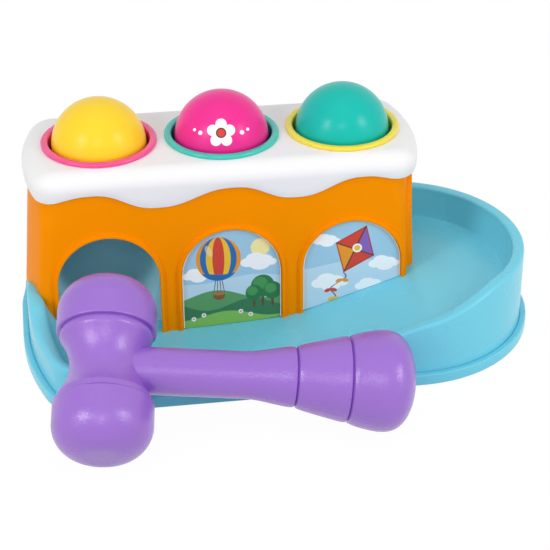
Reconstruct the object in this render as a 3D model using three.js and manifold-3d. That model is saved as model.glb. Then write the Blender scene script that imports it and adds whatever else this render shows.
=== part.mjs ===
// A pound-and-roll ball toy: three balls in rings on an icing cover, a house with arches,
// a base with a walled ramp that turns round the right end, and a hammer lying in front.
// Millimetres, +Z up. The origin is on the floor, straight below the middle ring.
import * as THREE from "three";
import { mergeVertices } from "three/addons/utils/BufferGeometryUtils.js";
import Module from "manifold-3d";

const wasm = await Module();
wasm.setup();

const { lerp, smoothstep, degToRad, radToDeg } = THREE.MathUtils;
const V2 = (x, y) => new THREE.Vector2(x, y);
const V3 = (x, y, z) => new THREE.Vector3(x, y, z);

// Balls and rings
const BALL_DIAMETER = 50;
const BALL_WALL = 2;
const BALL_LAP = 1.6;
const BALL_SINK = 1.1;
const RING_PITCH = 65;
const RING_LIP_DIAMETER = 61;
const RING_LIP_HEIGHT = 2.2;
const RING_BORE = 53.2;
const RING_WALL = 1.6;
const RING_TUBE_DEPTH = 6.5;
const COLLAR_SLEEVE_WALL = 1.8;
const COLLAR_SLEEVE_HEIGHT = 3.2;
const COLLAR_WALL = 1.4;
const COLLAR_REACH = 11;
const COLLAR_SLITS = 6;
const COLLAR_SLIT_WIDTH = 1.4;

// Clearances
const SEAT_GAP = 0.3;
const BALL_GRIP_GAP = 0.3;
const COVER_FIT = 0.4;
const SCREW_FIT = 0.25;

// Icing cover
const COVER_TOP = 101.5;
const COVER_WALL = 1.8;
const COVER_EDGE = 9;
const COVER_TUCK = 0.8;
const COVER_CORNER = 9.2;
const DRIP_LOW = 81;
const DRIP_POINTS = [
  [-106, 86.2],
  [-95.5, 86.7],
  [-72.6, 90.1],
  [-38, DRIP_LOW],
  [2, 89.8],
  [34.5, DRIP_LOW + 0.5],
  [71, 90.5],
  [91, 87.8],
  [106, 89.2],
];

// House
const HOUSE_TOP = 95;
const HOUSE_WALL = 2.4;
const HOUSE_LEFT = -102.6;
const HOUSE_RIGHT = 98.6;
const HOUSE_HALF_DEPTH = 35.6;
const HOUSE_CORNER = 4;
const HOUSE_CORNER_TOP = 7;
const END_BOW = 7.5;
const FLARE_LEFT = 0.085;
const FLARE_RIGHT = 0.047;
const FLARE_SIDE = 0.042;
const ARCH_HALF_WIDTH = 26.9;
const ARCH_SPRING = 37.3;
const ARCH_RIM = 2.7;
const ARCH_RIM_PROUD = 1.5;
const EXIT_HALF_WIDTH = 27.5;
const EXIT_SPRING = 56.5;
const EXIT_RIM = 3;
const EXIT_RIM_PROUD = 2.8;
const LABEL_RECESS = 1.3;
const LABEL_THICKNESS = 0.5;
const LABEL_MARGIN = 0.4;

// Base: a straight front, a half-round right end and a rounded front-left corner
const BASE_FRONT = -101.6;
const BASE_BACK = 41.4;
const BASE_TURN_X = 91.3;
const BASE_LEFT = -112.3;
const BASE_LEFT_BACK = -110;
const BASE_SIDE_BEND_Y = -29.5;
const BASE_SIDE_BEND_RADIUS = 160;
const BASE_SIDE_BEND_ANGLE = 21;
const BASE_BACK_CORNER = 20;
const BASE_WALL = 2;
const FLANGE_HEIGHT = 6;
const FLANGE_LEDGE = 3.5;
const RIM_WIDTH = 6.5;
const RIM_ROUND = 1.8;
const LIP_HEIGHT = 5.5;
const BACK_RIM = 46.5;
const LEFT_RIM = 22;
const BANK_RIM = 32;
const RIM_RISE_ANGLE = 40;
const WALL_FOOT = 4;
const BANK_WIDTH = 22;
const BANK_EXTRA_RIM = 1.8;
const BANK_BACK_Y = -26;
const BANK_FOOT_Y = -37;
const BANK_POINTS = [
  [-75, 23.4],
  [-62, 24.4],
  [-54, 27.5],
  [-43, BANK_RIM],
];
const BANK_END = [-90, -54];
const RIB_WIDTH = 3;
const RIB_STATIONS = [-72, -12, 50];
const RAMP_POINTS = [
  [-112, 5.2],
  [-40, 5.2],
  [0, 6.6],
  [32, 9.4],
  [60, 17.8],
  [86, 26.2],
  [98, 29.8],
  [112, 30.2],
  [165, 30.2],
];

// Chute inside the house
const CHUTE_WALL = 1.8;
const NICHE_RADIUS = 26.6;
const NICHE_FRONT = -28;
const NICHE_TOP = 78;
const NICHE_FALL = 2.5;
const CHUTE_SIDE_ROOM = 9.8;
const CHUTE_HALF_WIDTH = HOUSE_HALF_DEPTH - CHUTE_SIDE_ROOM;
const CHUTE_START = -33.5;
const CHUTE_END = 94;
const CHUTE_LOW = 32.2;
const CHUTE_SLOPE = 0.07;
const CHUTE_RAIL = 10;
const CHUTE_TONGUE = 14;
const CHUTE_BOSS_RADIUS = 3.8;
const CHUTE_BOSSES = [12, 72];

// Screws
const SCREW_RADIUS = 1.4;
const SCREW_LENGTH = 11;
const SCREW_HEAD_RADIUS = 2.7;
const SCREW_HEAD_HEIGHT = 1.5;
const COLUMN_RADIUS = 3.6;
const COLUMN_HEIGHT = 20;
const WEB_WIDTH = 2.2;
const FRONT_COLUMN_X = [-32.5, 32.5, 86];
const FRONT_COLUMN_INSET = 2.6;
const BACK_COLUMN_ANGLES = [138, 47];
const BACK_COLUMN_ROOM = 2.4;
const POST_RADIUS = 3.4;
const POST_LENGTH = 12;
const LUG_HEIGHT = 3;
const LUG_WIDTH = 9;
const POST_X = 32.5;
const POST_INSET = 6.1;

// Hammer
const HAMMER_WALL = 2.2;
const HEAD_LENGTH = 93.6;
const HEAD_RADIUS = 24.6;
const HEAD_END_ROUND = 17;
const CAP_EDGE = 18.9;
const GROOVE_WIDTH = 1;
const GROOVE_DEPTH = 0.9;
const BAND_WIDTH = 2.4;
const WAIST_END_RADIUS = 22.8;
const WAIST_RADIUS = 17.2;
const SHAFT_RADIUS = 11.7;
const HANDLE_LENGTH = 152.4;
const KNOB_RADIUS = 25.2;
const KNOB_FROM_END = 16.6;
const GRIP_LINES_FROM_END = [59.4, 33.4];
const HANDLE_PROFILE = [
  [86.4, SHAFT_RADIUS],
  [72.4, 12.8],
  [GRIP_LINES_FROM_END[0], 15.4],
  [46.4, 18.6],
  [GRIP_LINES_FROM_END[1], 21.6],
  [23.4, 24.3],
  [KNOB_FROM_END, KNOB_RADIUS],
  [8.4, 23.4],
  [2.9, 16.5],
];
const GRIP_LINE_DEPTH = 0.6;
const HAMMER_X = -72.1;
const HAMMER_Y = -119.9;
const HAMMER_TILT = 30;
const HAMMER_YAW = -4.4;

const BALL_RADIUS = BALL_DIAMETER / 2;
const BALL_Z = COVER_TOP - BALL_SINK;
const TURN_RADIUS = (BASE_BACK - BASE_FRONT) / 2;
const SPINE_Y = (BASE_BACK + BASE_FRONT) / 2;
const RING_TUBE_RADIUS = RING_BORE / 2 + RING_WALL;
const SIDES = 24;
const RING_PLACES = [-RING_PITCH, 0, RING_PITCH];
const PLACE_NAMES = ["left", "middle", "right"];
const LABEL_PLACES = RING_PLACES.slice(1);
const KNOB_AT = HANDLE_LENGTH - KNOB_FROM_END;
const POST_PLACES = [-1, 1].flatMap((side) => [-POST_X, POST_X].map((x) => {
  return [x, side * (HOUSE_HALF_DEPTH - POST_INSET)];
}));
const backColumnReach = NICHE_RADIUS + CHUTE_WALL + BACK_COLUMN_ROOM + COLUMN_RADIUS;
const COLUMN_PLACES = [
  ...FRONT_COLUMN_X.map((x) => [x, FRONT_COLUMN_INSET - HOUSE_HALF_DEPTH]),
  ...BACK_COLUMN_ANGLES.map(degToRad).map((angle) => {
    return [backColumnReach * Math.cos(angle) - RING_PITCH, backColumnReach * Math.sin(angle)];
  }),
];

// Colours
const BLUE = 0x6cc5da;
const ORANGE = 0xfa9200;
const WHITE = 0xf4f3f4;
const LABEL_SKY = 0x9cc6dd;
const COLLAR_GREY = 0x5a5f66;
const STEEL = 0xb4b8bc;
const PURPLE = 0xa070d6;
const RING_COLOURS = [0xee3f94, 0x2ec4b6, 0xffde3c];
const BALL_COLOURS = [0xffd92f, 0xf0379a, 0x2ec4b6];

// Turns a closed three.js geometry into a solid for joining and cutting.
function solid(geometry) {
  const plain = geometry.clone();
  plain.deleteAttribute("normal");
  plain.deleteAttribute("uv");
  const merged = mergeVertices(plain, 1e-4);
  const vertProperties = merged.attributes.position.array;
  const triVerts = new Uint32Array(merged.index.array);
  return new wasm.Manifold(new wasm.Mesh({ numProp: 3, vertProperties, triVerts }));
}

function geometryOf(body) {
  const mesh = body.getMesh();
  const geometry = new THREE.BufferGeometry();
  const positions = new THREE.BufferAttribute(new Float32Array(mesh.vertProperties), 3);
  geometry.setAttribute("position", positions);
  geometry.setIndex(new THREE.BufferAttribute(new Uint32Array(mesh.triVerts), 1));
  geometry.computeVertexNormals();
  return geometry;
}

function joined(bodies) {
  return bodies.reduce((all, body) => all.add(body));
}

// Prisms: a plan pushed up, a front outline pushed back, an end outline pushed right.
function pushedUp(shape, low, high) {
  const options = { depth: high - low, bevelEnabled: false, curveSegments: 8 };
  return solid(new THREE.ExtrudeGeometry(shape, options).translate(0, 0, low));
}

function pushedBack(shape, front, back) {
  const options = { depth: back - front, bevelEnabled: false, curveSegments: 8 };
  const geometry = new THREE.ExtrudeGeometry(shape, options);
  return solid(geometry.rotateX(Math.PI / 2).translate(0, back, 0));
}

function pushedRight(shape, left, right) {
  const options = { depth: right - left, bevelEnabled: false, curveSegments: 8 };
  const turn = new THREE.Matrix4().makeBasis(V3(0, 1, 0), V3(0, 0, 1), V3(1, 0, 0));
  const geometry = new THREE.ExtrudeGeometry(shape, options);
  return solid(geometry.applyMatrix4(turn).translate(left, 0, 0));
}

const polygon = (points) => new THREE.Shape(points.map(([x, y]) => V2(x, y)));

function box([x0, y0, z0], [x1, y1, z1]) {
  const geometry = new THREE.BoxGeometry(x1 - x0, y1 - y0, z1 - z0);
  return solid(geometry.translate((x0 + x1) / 2, (y0 + y1) / 2, (z0 + z1) / 2));
}

function rod(x, y, low, high, radius, sides = 10) {
  const geometry = new THREE.CylinderGeometry(radius, radius, high - low, sides);
  return solid(geometry.rotateX(Math.PI / 2).translate(x, y, (low + high) / 2));
}

// A geometry turned about the Z axis from [radius, z] points that run anticlockwise.
function turnedGeometry(profile, sides = SIDES) {
  const points = profile.map(([radius, z]) => V2(radius, z));
  points.push(points[0].clone());
  return new THREE.LatheGeometry(points, sides).rotateX(Math.PI / 2);
}

// A closed skin through rings of equally many points. Flat caps close the two end rings
// unless those rings have shrunk to a line.
function stitched(rings, capped) {
  const count = rings[0].length;
  const positions = rings.flat().flatMap((p) => [p.x, p.y, p.z]);
  const index = [];
  for (let r = 0; r + 1 < rings.length; r++) {
    for (let i = 0; i < count; i++) {
      const a = r * count + i;
      const b = r * count + ((i + 1) % count);
      index.push(a, b, b + count, a, b + count, a + count);
    }
  }
  if (capped) {
    const last = (rings.length - 1) * count;
    const capOf = (ring) => THREE.ShapeUtils.triangulateShape(ring.map((p) => V2(p.x, p.y)), []);
    for (const [a, b, c] of capOf(rings[0])) index.push(a, c, b);
    for (const [a, b, c] of capOf(rings.at(-1))) index.push(last + a, last + b, last + c);
  }
  const geometry = new THREE.BufferGeometry();
  geometry.setAttribute("position", new THREE.Float32BufferAttribute(positions, 3));
  geometry.setIndex(index);
  return solid(geometry);
}

// A value read off a row of [position, value] points on a smooth curve.
function readOff(points, x) {
  const last = points.length - 1;
  if (x <= points[0][0]) return points[0][1];
  if (x >= points[last][0]) return points[last][1];
  const i = points.findIndex((p) => p[0] > x) - 1;
  const slope = (k) => {
    if (k <= 0 || k >= last) return 0;
    return (points[k + 1][1] - points[k - 1][1]) / (points[k + 1][0] - points[k - 1][0]);
  };
  const span = points[i + 1][0] - points[i][0];
  const t = (x - points[i][0]) / span;
  const start = (1 + 2 * t) * (1 - t) ** 2 * points[i][1] + t * (1 - t) ** 2 * span * slope(i);
  const end = t * t * (3 - 2 * t) * points[i + 1][1] + t * t * (t - 1) * span * slope(i + 1);
  return start + end;
}

// The icing's lower edge swings from one drip or crest to the next.
function dripHeight(x) {
  const i = Math.max(1, DRIP_POINTS.findIndex((p) => p[0] >= x));
  const [x0, z0] = DRIP_POINTS[i - 1];
  const [x1, z1] = DRIP_POINTS[i];
  return lerp(z0, z1, smoothstep(x, x0, x1));
}

const rampHeight = (x) => readOff(RAMP_POINTS, x);
const chuteHeight = (x) => CHUTE_LOW + CHUTE_SLOPE * (CHUTE_END - x);

// The plan of the house and of its cover: straight sides, round corners and bowed ends.
// Left and right are the ends' outermost points, halfway along their bow.
function barPlan({ left, right, halfDepth, corner, z }) {
  const plan = [];
  const west = left + END_BOW;
  const east = right - END_BOW;
  const corners = [
    [east - corner, corner - halfDepth, -90],
    [east - corner, halfDepth - corner, 0],
    [west + corner, halfDepth - corner, 90],
    [west + corner, corner - halfDepth, 180],
  ];
  const endSteps = 6;
  corners.forEach(([x, y, start], k) => {
    for (let step = 0; step <= 4; step++) {
      const angle = degToRad(start + (90 * step) / 4);
      plan.push(V3(x + corner * Math.cos(angle), y + corner * Math.sin(angle), z));
    }
    if (k % 2 === 1) return;
    const endX = k === 0 ? east : west;
    for (let step = 1; step < endSteps; step++) plan.push(V3(endX, lerp(y, -y, step / endSteps), z));
  });
  const middle = (west + east) / 2;
  for (const p of plan) p.x += Math.sign(p.x - middle) * END_BOW * (1 - (p.y / halfDepth) ** 2);
  return plan;
}

const houseLeft = (z) => HOUSE_LEFT - FLARE_LEFT * (HOUSE_TOP - z);
const houseRight = (z) => HOUSE_RIGHT + FLARE_RIGHT * (HOUSE_TOP - z);
const houseHalfDepth = (z) => HOUSE_HALF_DEPTH + FLARE_SIDE * (HOUSE_TOP - z);

// The house as a solid block, moved out by a distance on every side.
function houseBlock(out, low = -1, high = HOUSE_TOP) {
  const plan = (z, corner) => barPlan({
    left: houseLeft(z) - out,
    right: houseRight(z) + out,
    halfDepth: houseHalfDepth(z) + out,
    corner: corner + out,
    z,
  });
  const rings = [
    plan(low, HOUSE_CORNER),
    plan(HOUSE_TOP - 25, HOUSE_CORNER),
    plan(HOUSE_TOP - 11, HOUSE_CORNER_TOP),
    plan(high, HOUSE_CORNER_TOP),
  ];
  return stitched(rings, true);
}

// A round-headed opening standing on a low line.
function archShape(centre, halfWidth, spring, low) {
  const shape = new THREE.Shape();
  shape.moveTo(centre - halfWidth, low);
  shape.lineTo(centre + halfWidth, low);
  shape.lineTo(centre + halfWidth, spring);
  shape.absarc(centre, spring, halfWidth, 0, Math.PI, false);
  shape.closePath();
  return shape;
}

// Places along the straight stretch where the floor's slope is followed.
function spineStops() {
  const bends = RAMP_POINTS.map(([x]) => x).filter((x) => x > -60 && x < BASE_TURN_X);
  const halfway = bends.slice(1).map((x, i) => (x + bends[i]) / 2);
  return [...bends, ...halfway].sort((a, b) => a - b);
}

// Stations round the base's edge, anticlockwise, each with its outward direction.
function baseStations() {
  const stations = [];
  const arc = (cx, cy, radius, from, to, steps) => {
    for (let step = 0; step <= steps; step++) {
      const angle = degToRad(lerp(from, to, step / steps));
      const nx = Math.cos(angle);
      const ny = Math.sin(angle);
      stations.push({ x: cx + radius * nx, y: cy + radius * ny, nx, ny });
    }
  };
  const front = (x) => ({ x, y: BASE_FRONT, nx: 0, ny: -1 });
  const backY = BASE_BACK - BASE_BACK_CORNER;
  const bend = degToRad(BASE_SIDE_BEND_ANGLE);
  const bentDepth = BASE_SIDE_BEND_Y - BASE_FRONT - BASE_SIDE_BEND_RADIUS * Math.sin(bend);
  const corner = bentDepth / (1 - Math.sin(bend));
  const cornerX = BASE_LEFT + BASE_SIDE_BEND_RADIUS - (BASE_SIDE_BEND_RADIUS - corner) * Math.cos(bend);
  const cornerStart = 180 + BASE_SIDE_BEND_ANGLE;
  arc(BASE_LEFT + BASE_SIDE_BEND_RADIUS, BASE_SIDE_BEND_Y, BASE_SIDE_BEND_RADIUS, 180, cornerStart, 8);
  arc(cornerX, BASE_FRONT + corner, corner, lerp(cornerStart, 270, 1 / 7), 270, 6);
  for (let step = 1; step < 5; step++) stations.push(front(lerp(cornerX, spineStops()[0], step / 5)));
  for (const x of spineStops()) stations.push(front(x));
  arc(BASE_TURN_X, SPINE_Y, TURN_RADIUS, -90, 90, 24);
  for (const x of spineStops().reverse()) stations.push({ x, y: BASE_BACK, nx: 0, ny: 1 });
  arc(BASE_LEFT_BACK + BASE_BACK_CORNER, backY, BASE_BACK_CORNER, 90, 180, 5);
  const leftSide = [
    [BASE_SIDE_BEND_Y, BASE_LEFT],
    [0, BASE_LEFT],
    [backY, BASE_LEFT_BACK],
  ];
  const steps = 8;
  for (let step = 1; step < steps; step++) {
    const y = lerp(backY, BASE_SIDE_BEND_Y, step / steps);
    stations.push({ x: readOff(leftSide, y), y, nx: -1, ny: 0 });
  }
  return stations;
}

// How high the rim stands at a station of the edge.
function rimHeight({ x, y }) {
  if (x > BASE_TURN_X) {
    const angle = radToDeg(Math.atan2(y - SPINE_Y, x - BASE_TURN_X));
    const low = rampHeight(BASE_TURN_X) + LIP_HEIGHT;
    return lerp(low, BACK_RIM, Math.min(1, (angle + 90) / RIM_RISE_ANGLE));
  }
  if (y > 0) return lerp(LEFT_RIM, BACK_RIM, smoothstep(x, -70, 70));
  if (y > BANK_BACK_Y) return lerp(BANK_RIM, LEFT_RIM, smoothstep(y, BANK_BACK_Y, 0));
  return lerp(readOff(BANK_POINTS, y), rampHeight(x) + LIP_HEIGHT, smoothstep(x, ...BANK_END));
}

// How far the wall has become the bank beside the left arch, which is wider above and below.
function bankShare({ x, y }) {
  if (x > BANK_END[1]) return 0;
  return smoothstep(-y, -BANK_FOOT_Y - 9, -BANK_FOOT_Y + 5) * (1 - smoothstep(-y, 62, 98));
}

const footWidth = (station) => lerp(WALL_FOOT, BANK_WIDTH, bankShare(station));
const rimInner = (station) => FLANGE_LEDGE + RIM_WIDTH + BANK_EXTRA_RIM * bankShare(station);

// The upper skin at a station: [inward distance, height] from the edge to the wall's foot.
function upperSection(station, grow) {
  const rim = rimHeight(station);
  const foot = footWidth(station);
  const ledge = FLANGE_LEDGE - grow;
  const inner = rimInner(station) + grow;
  const floor = rampHeight(station.x - station.nx * (inner + foot));
  const section = [
    [0, -grow],
    [0, FLANGE_HEIGHT - 1],
    [1, FLANGE_HEIGHT],
    [ledge, FLANGE_HEIGHT],
    [ledge + 0.2, rim - RIM_ROUND],
    [ledge + 0.3 * RIM_ROUND + 0.2, rim - 0.3 * RIM_ROUND],
    [ledge + RIM_ROUND, rim],
    [inner - RIM_ROUND, rim],
    [inner - 0.3 * RIM_ROUND, rim - 0.3 * RIM_ROUND],
  ];
  for (const t of [0.1, 0.35, 0.65, 1]) {
    section.push([inner + foot * t, floor + (rim - RIM_ROUND - floor) * (1 - t) ** 2]);
  }
  return section.map(([d, z]) => [d, z + grow]);
}

// The lower skin at a station, one wall thickness inside the upper one.
function lowerSection(station) {
  const rim = rimHeight(station);
  const foot = footWidth(station);
  const inner = rimInner(station);
  const floor = rampHeight(station.x - station.nx * (inner + foot)) - BASE_WALL;
  return [
    [BASE_WALL, 0],
    [BASE_WALL, FLANGE_HEIGHT - BASE_WALL],
    [FLANGE_LEDGE + BASE_WALL, FLANGE_HEIGHT - BASE_WALL],
    [FLANGE_LEDGE + BASE_WALL + 0.4, rim - BASE_WALL],
    [inner - BASE_WALL - 0.2, rim - BASE_WALL],
    [inner - BASE_WALL, floor],
    [inner + foot, floor],
  ];
}

// A sheet round the whole base. Both skins start at the edge and run in to the spine,
// the line under the house on which the straight stretches meet.
function baseSheet(upper, lower, spineTop, spineUnder) {
  const stations = baseStations();
  const firstStop = spineStops()[0];
  const spineX = ({ x }) => Math.min(Math.max(x, firstStop), BASE_TURN_X);
  const ringsOf = (section) => {
    const rows = stations.map((s) => section(s).map(([d, z]) => V3(s.x - s.nx * d, s.y - s.ny * d, z)));
    return rows[0].map((_, r) => rows.map((row) => row[r]));
  };
  const spine = (height) => stations.map((s) => V3(spineX(s), SPINE_Y, height(spineX(s))));
  return stitched([spine(spineUnder), ...ringsOf(lower).reverse(), ...ringsOf(upper), spine(spineTop)], false);
}

// Screws stand upright, heads down. A seat is the face that the head presses on.
const SCREW_HOLE = SCREW_RADIUS + SCREW_FIT;
const BOSS_RADIUS = COLUMN_RADIUS + 1;
const chuteScrewPlaces = CHUTE_BOSSES.map((x) => [x, 0]);
const floorScrewPlaces = [...COLUMN_PLACES, ...chuteScrewPlaces];
const floorSeat = (x) => rampHeight(x - BOSS_RADIUS) - BASE_WALL - SEAT_GAP;
const lugTop = COVER_TOP - COVER_WALL - POST_LENGTH - SEAT_GAP;
const lugSeat = lugTop - LUG_HEIGHT;

function baseTray() {
  const sheet = baseSheet((s) => upperSection(s, 0), lowerSection, rampHeight, (x) => rampHeight(x) - BASE_WALL);
  const ribInset = FLANGE_LEDGE + RIM_WIDTH - BASE_WALL / 2;
  const ribTop = (x) => rampHeight(x) - BASE_WALL / 2;
  const ribLeft = BASE_LEFT + ribInset;
  const ribRight = BASE_TURN_X + Math.sqrt((TURN_RADIUS - ribInset) ** 2 - SPINE_Y ** 2);
  const along = [ribLeft, ...spineStops(), BASE_TURN_X, RAMP_POINTS.at(-3)[0], ribRight];
  const longRib = polygon([[ribRight, 0], ...along.reverse().map((x) => [x, ribTop(x)]), [ribLeft, 0]]);
  const ribs = RIB_STATIONS.map((x) => box(
    [x - RIB_WIDTH / 2, BASE_FRONT + ribInset, 0],
    [x + RIB_WIDTH / 2, BASE_BACK - ribInset, ribTop(x)],
  ));
  const bosses = floorScrewPlaces.map(([x, y]) => rod(x, y, floorSeat(x), ribTop(x), BOSS_RADIUS));
  const holes = floorScrewPlaces.flatMap(([x, y]) => [
    rod(x, y, 0, rampHeight(x) + 5, SCREW_HOLE),
    rod(x, y, -1, floorSeat(x), SCREW_HEAD_RADIUS + 2 * SEAT_GAP),
  ]);
  const rib = pushedBack(longRib, -RIB_WIDTH / 2, RIB_WIDTH / 2);
  return joined([sheet, rib, ...ribs, ...bosses]).subtract(joined(holes));
}

// What the house and chute keep clear of: all up to just above the base's upper skin, and all
// below rim height outside the rim.
function baseClearance() {
  const depth = -30;
  const outside = -20;
  const upper = (station) => {
    const section = upperSection(station, SEAT_GAP);
    const rimTop = section.findIndex(([, z]) => z === rimHeight(station) + SEAT_GAP);
    return [[outside, rimHeight(station) + SEAT_GAP], ...section.slice(rimTop)];
  };
  return baseSheet(upper, () => [[outside, depth]], (x) => rampHeight(x) + SEAT_GAP, () => depth);
}

function houseShell(clearance) {
  const inside = houseBlock(-HOUSE_WALL, -2, HOUSE_TOP + 1);
  const archFront = -2 * HOUSE_HALF_DEPTH;
  const archBack = -HOUSE_HALF_DEPTH / 2;
  const archEnd = 2 * HOUSE_RIGHT;
  const archInside = HOUSE_RIGHT / 2;
  const frontArch = (centre, grow) => {
    const shape = archShape(centre, ARCH_HALF_WIDTH + grow, ARCH_SPRING, -1);
    return pushedBack(shape, archFront, archBack);
  };
  const exitArch = (grow) => {
    return pushedRight(archShape(0, EXIT_HALF_WIDTH + grow, EXIT_SPRING, -1), archInside, archEnd);
  };
  const rims = RING_PLACES.map((x) => frontArch(x, ARCH_RIM));
  const frontRims = joined(rims).intersect(houseBlock(ARCH_RIM_PROUD));
  const exitRim = exitArch(EXIT_RIM).intersect(houseBlock(EXIT_RIM_PROUD));
  let house = joined([houseBlock(0), frontRims, exitRim]).subtract(inside);
  house = house.subtract(frontArch(RING_PLACES[0], 0)).subtract(exitArch(0));
  const recesses = joined(LABEL_PLACES.map((x) => frontArch(x, 0)));
  house = house.subtract(recesses.subtract(houseBlock(-LABEL_RECESS, -2)));
  const fittings = [];
  for (const [x, y] of POST_PLACES) {
    const [near, far] = [y - Math.sign(y) * POST_RADIUS, Math.sign(y) * (houseHalfDepth(lugTop) - HOUSE_WALL / 2)];
    const half = LUG_WIDTH / 2;
    fittings.push(box([x - half, Math.min(near, far), lugSeat], [x + half, Math.max(near, far), lugTop]));
  }
  for (const [x, y] of COLUMN_PLACES) {
    const top = rampHeight(x) + COLUMN_HEIGHT + (y > 0 ? LEFT_RIM : 0);
    const far = Math.sign(y) * (houseHalfDepth(top) - HOUSE_WALL / 2);
    const web = WEB_WIDTH / 2;
    fittings.push(rod(x, y, 0, top, COLUMN_RADIUS));
    fittings.push(box([x - web, Math.min(y, far), 0], [x + web, Math.max(y, far), top]));
  }
  const holes = [
    ...COLUMN_PLACES.map(([x, y]) => rod(x, y, 0, floorSeat(x) + SCREW_LENGTH + 1, SCREW_HOLE)),
    ...POST_PLACES.map(([x, y]) => rod(x, y, lugSeat - 1, lugTop + 1, SCREW_HOLE)),
  ];
  return joined([house, ...fittings]).subtract(joined(holes)).subtract(clearance);
}

function label(centre, clearance) {
  const shape = archShape(centre, ARCH_HALF_WIDTH - LABEL_MARGIN, ARCH_SPRING, -1);
  const back = LABEL_RECESS - SEAT_GAP;
  const skin = houseBlock(LABEL_THICKNESS - back).subtract(houseBlock(-back, -2, HOUSE_TOP + 1));
  return pushedBack(shape, -2 * HOUSE_HALF_DEPTH, -HOUSE_HALF_DEPTH / 2).intersect(skin).subtract(clearance);
}

function icingCover() {
  const left = houseLeft(DRIP_LOW) - COVER_FIT - COVER_WALL;
  const right = houseRight(DRIP_LOW) + EXIT_RIM_PROUD + COVER_FIT + COVER_WALL;
  const halfDepth = houseHalfDepth(DRIP_LOW) + COVER_FIT + COVER_WALL;
  const plan = (inset, z) => barPlan({
    left: left + inset,
    right: right - inset,
    halfDepth: halfDepth - inset,
    corner: Math.max(COVER_CORNER - inset, 1),
    z,
  });
  const shoulder = COVER_TOP - COVER_EDGE;
  const rounded = (inset) => [0, 22.5, 45, 67.5, 90].map((degrees) => {
    const angle = degToRad(degrees);
    const radius = COVER_EDGE - inset;
    return plan(inset + radius * (1 - Math.cos(angle)), shoulder + radius * Math.sin(angle));
  });
  const outside = stitched([plan(COVER_TUCK, DRIP_LOW - 2), ...rounded(0)], true);
  const inside = stitched([plan(COVER_WALL, DRIP_LOW - 3), ...rounded(COVER_WALL)], true);
  const stepsPerSwing = 6;
  const edge = DRIP_POINTS.slice(1).flatMap(([x], i) => {
    const start = DRIP_POINTS[i][0];
    return Array.from({ length: stepsPerSwing }, (_, k) => lerp(start, x, k / stepsPerSwing));
  });
  const wave = [...edge, DRIP_POINTS.at(-1)[0]].map((x) => [x, dripHeight(x)]);
  const [[firstX, firstZ], [lastX, lastZ]] = [wave[0], wave.at(-1)];
  const low = DRIP_LOW - 10;
  const trim = [[firstX - 10, low], [lastX + 10, low], [lastX + 10, lastZ], ...wave.reverse(), [firstX - 10, firstZ]];
  const below = pushedBack(polygon(trim), -2 * halfDepth, 2 * halfDepth);
  const holeRadius = RING_TUBE_RADIUS + COVER_FIT;
  const holes = RING_PLACES.map((x) => rod(x, 0, shoulder, COVER_TOP + 1, holeRadius, SIDES));
  const postLow = lugTop + SEAT_GAP;
  const posts = POST_PLACES.map(([x, y]) => rod(x, y, postLow, COVER_TOP - COVER_WALL / 2, POST_RADIUS));
  const pilots = POST_PLACES.map(([x, y]) => rod(x, y, postLow - 1, lugSeat + SCREW_LENGTH + 1, SCREW_HOLE));
  const shell = outside.subtract(inside).subtract(below).subtract(joined(holes));
  return joined([shell, ...posts]).subtract(joined(pilots));
}

function ring() {
  const low = COVER_TOP - RING_TUBE_DEPTH;
  const lip = COVER_TOP + SEAT_GAP;
  const top = COVER_TOP + RING_LIP_HEIGHT;
  const bore = RING_BORE / 2;
  const edge = RING_LIP_DIAMETER / 2;
  return turnedGeometry([
    [bore, low],
    [RING_TUBE_RADIUS, low],
    [RING_TUBE_RADIUS, lip],
    [edge, lip],
    [edge, lerp(lip, top, 0.4)],
    [lerp(edge, bore, 0.25), lerp(lip, top, 0.88)],
    [lerp(edge, bore, 0.5), top],
    [lerp(edge, bore, 0.75), lerp(lip, top, 0.88)],
    [bore, lerp(lip, top, 0.4)],
  ]);
}

// A soft collar hangs on the ring's tube; its slit skirt leans in under the ball.
function collar() {
  const tubeLow = COVER_TOP - RING_TUBE_DEPTH;
  const seat = tubeLow - SEAT_GAP;
  const sleeve = RING_TUBE_RADIUS + SEAT_GAP;
  const outer = sleeve + COLLAR_SLEEVE_WALL;
  const tipZ = BALL_Z - COLLAR_REACH;
  const tip = Math.sqrt((BALL_RADIUS + BALL_GRIP_GAP) ** 2 - COLLAR_REACH ** 2);
  const bore = RING_BORE / 2;
  const body = solid(turnedGeometry([
    [tip, tipZ],
    [tip + COLLAR_WALL, tipZ - 0.4 * COLLAR_WALL],
    [bore + COLLAR_WALL, seat - COLLAR_WALL],
    [outer, seat - COLLAR_WALL],
    [outer, tubeLow + COLLAR_SLEEVE_HEIGHT],
    [sleeve, tubeLow + COLLAR_SLEEVE_HEIGHT],
    [sleeve, seat],
    [bore, seat],
  ]));
  const slits = Array.from({ length: COLLAR_SLITS }, (_, k) => {
    const slit = new THREE.BoxGeometry(bore - tip + 4, COLLAR_SLIT_WIDTH, seat - tipZ);
    slit.translate((bore + tip) / 2 - 2, 0, tipZ + (seat - tipZ) / 4);
    return solid(slit.rotateZ((2 * Math.PI * (k + 0.5)) / COLLAR_SLITS));
  });
  return geometryOf(body.subtract(joined(slits)));
}

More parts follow.
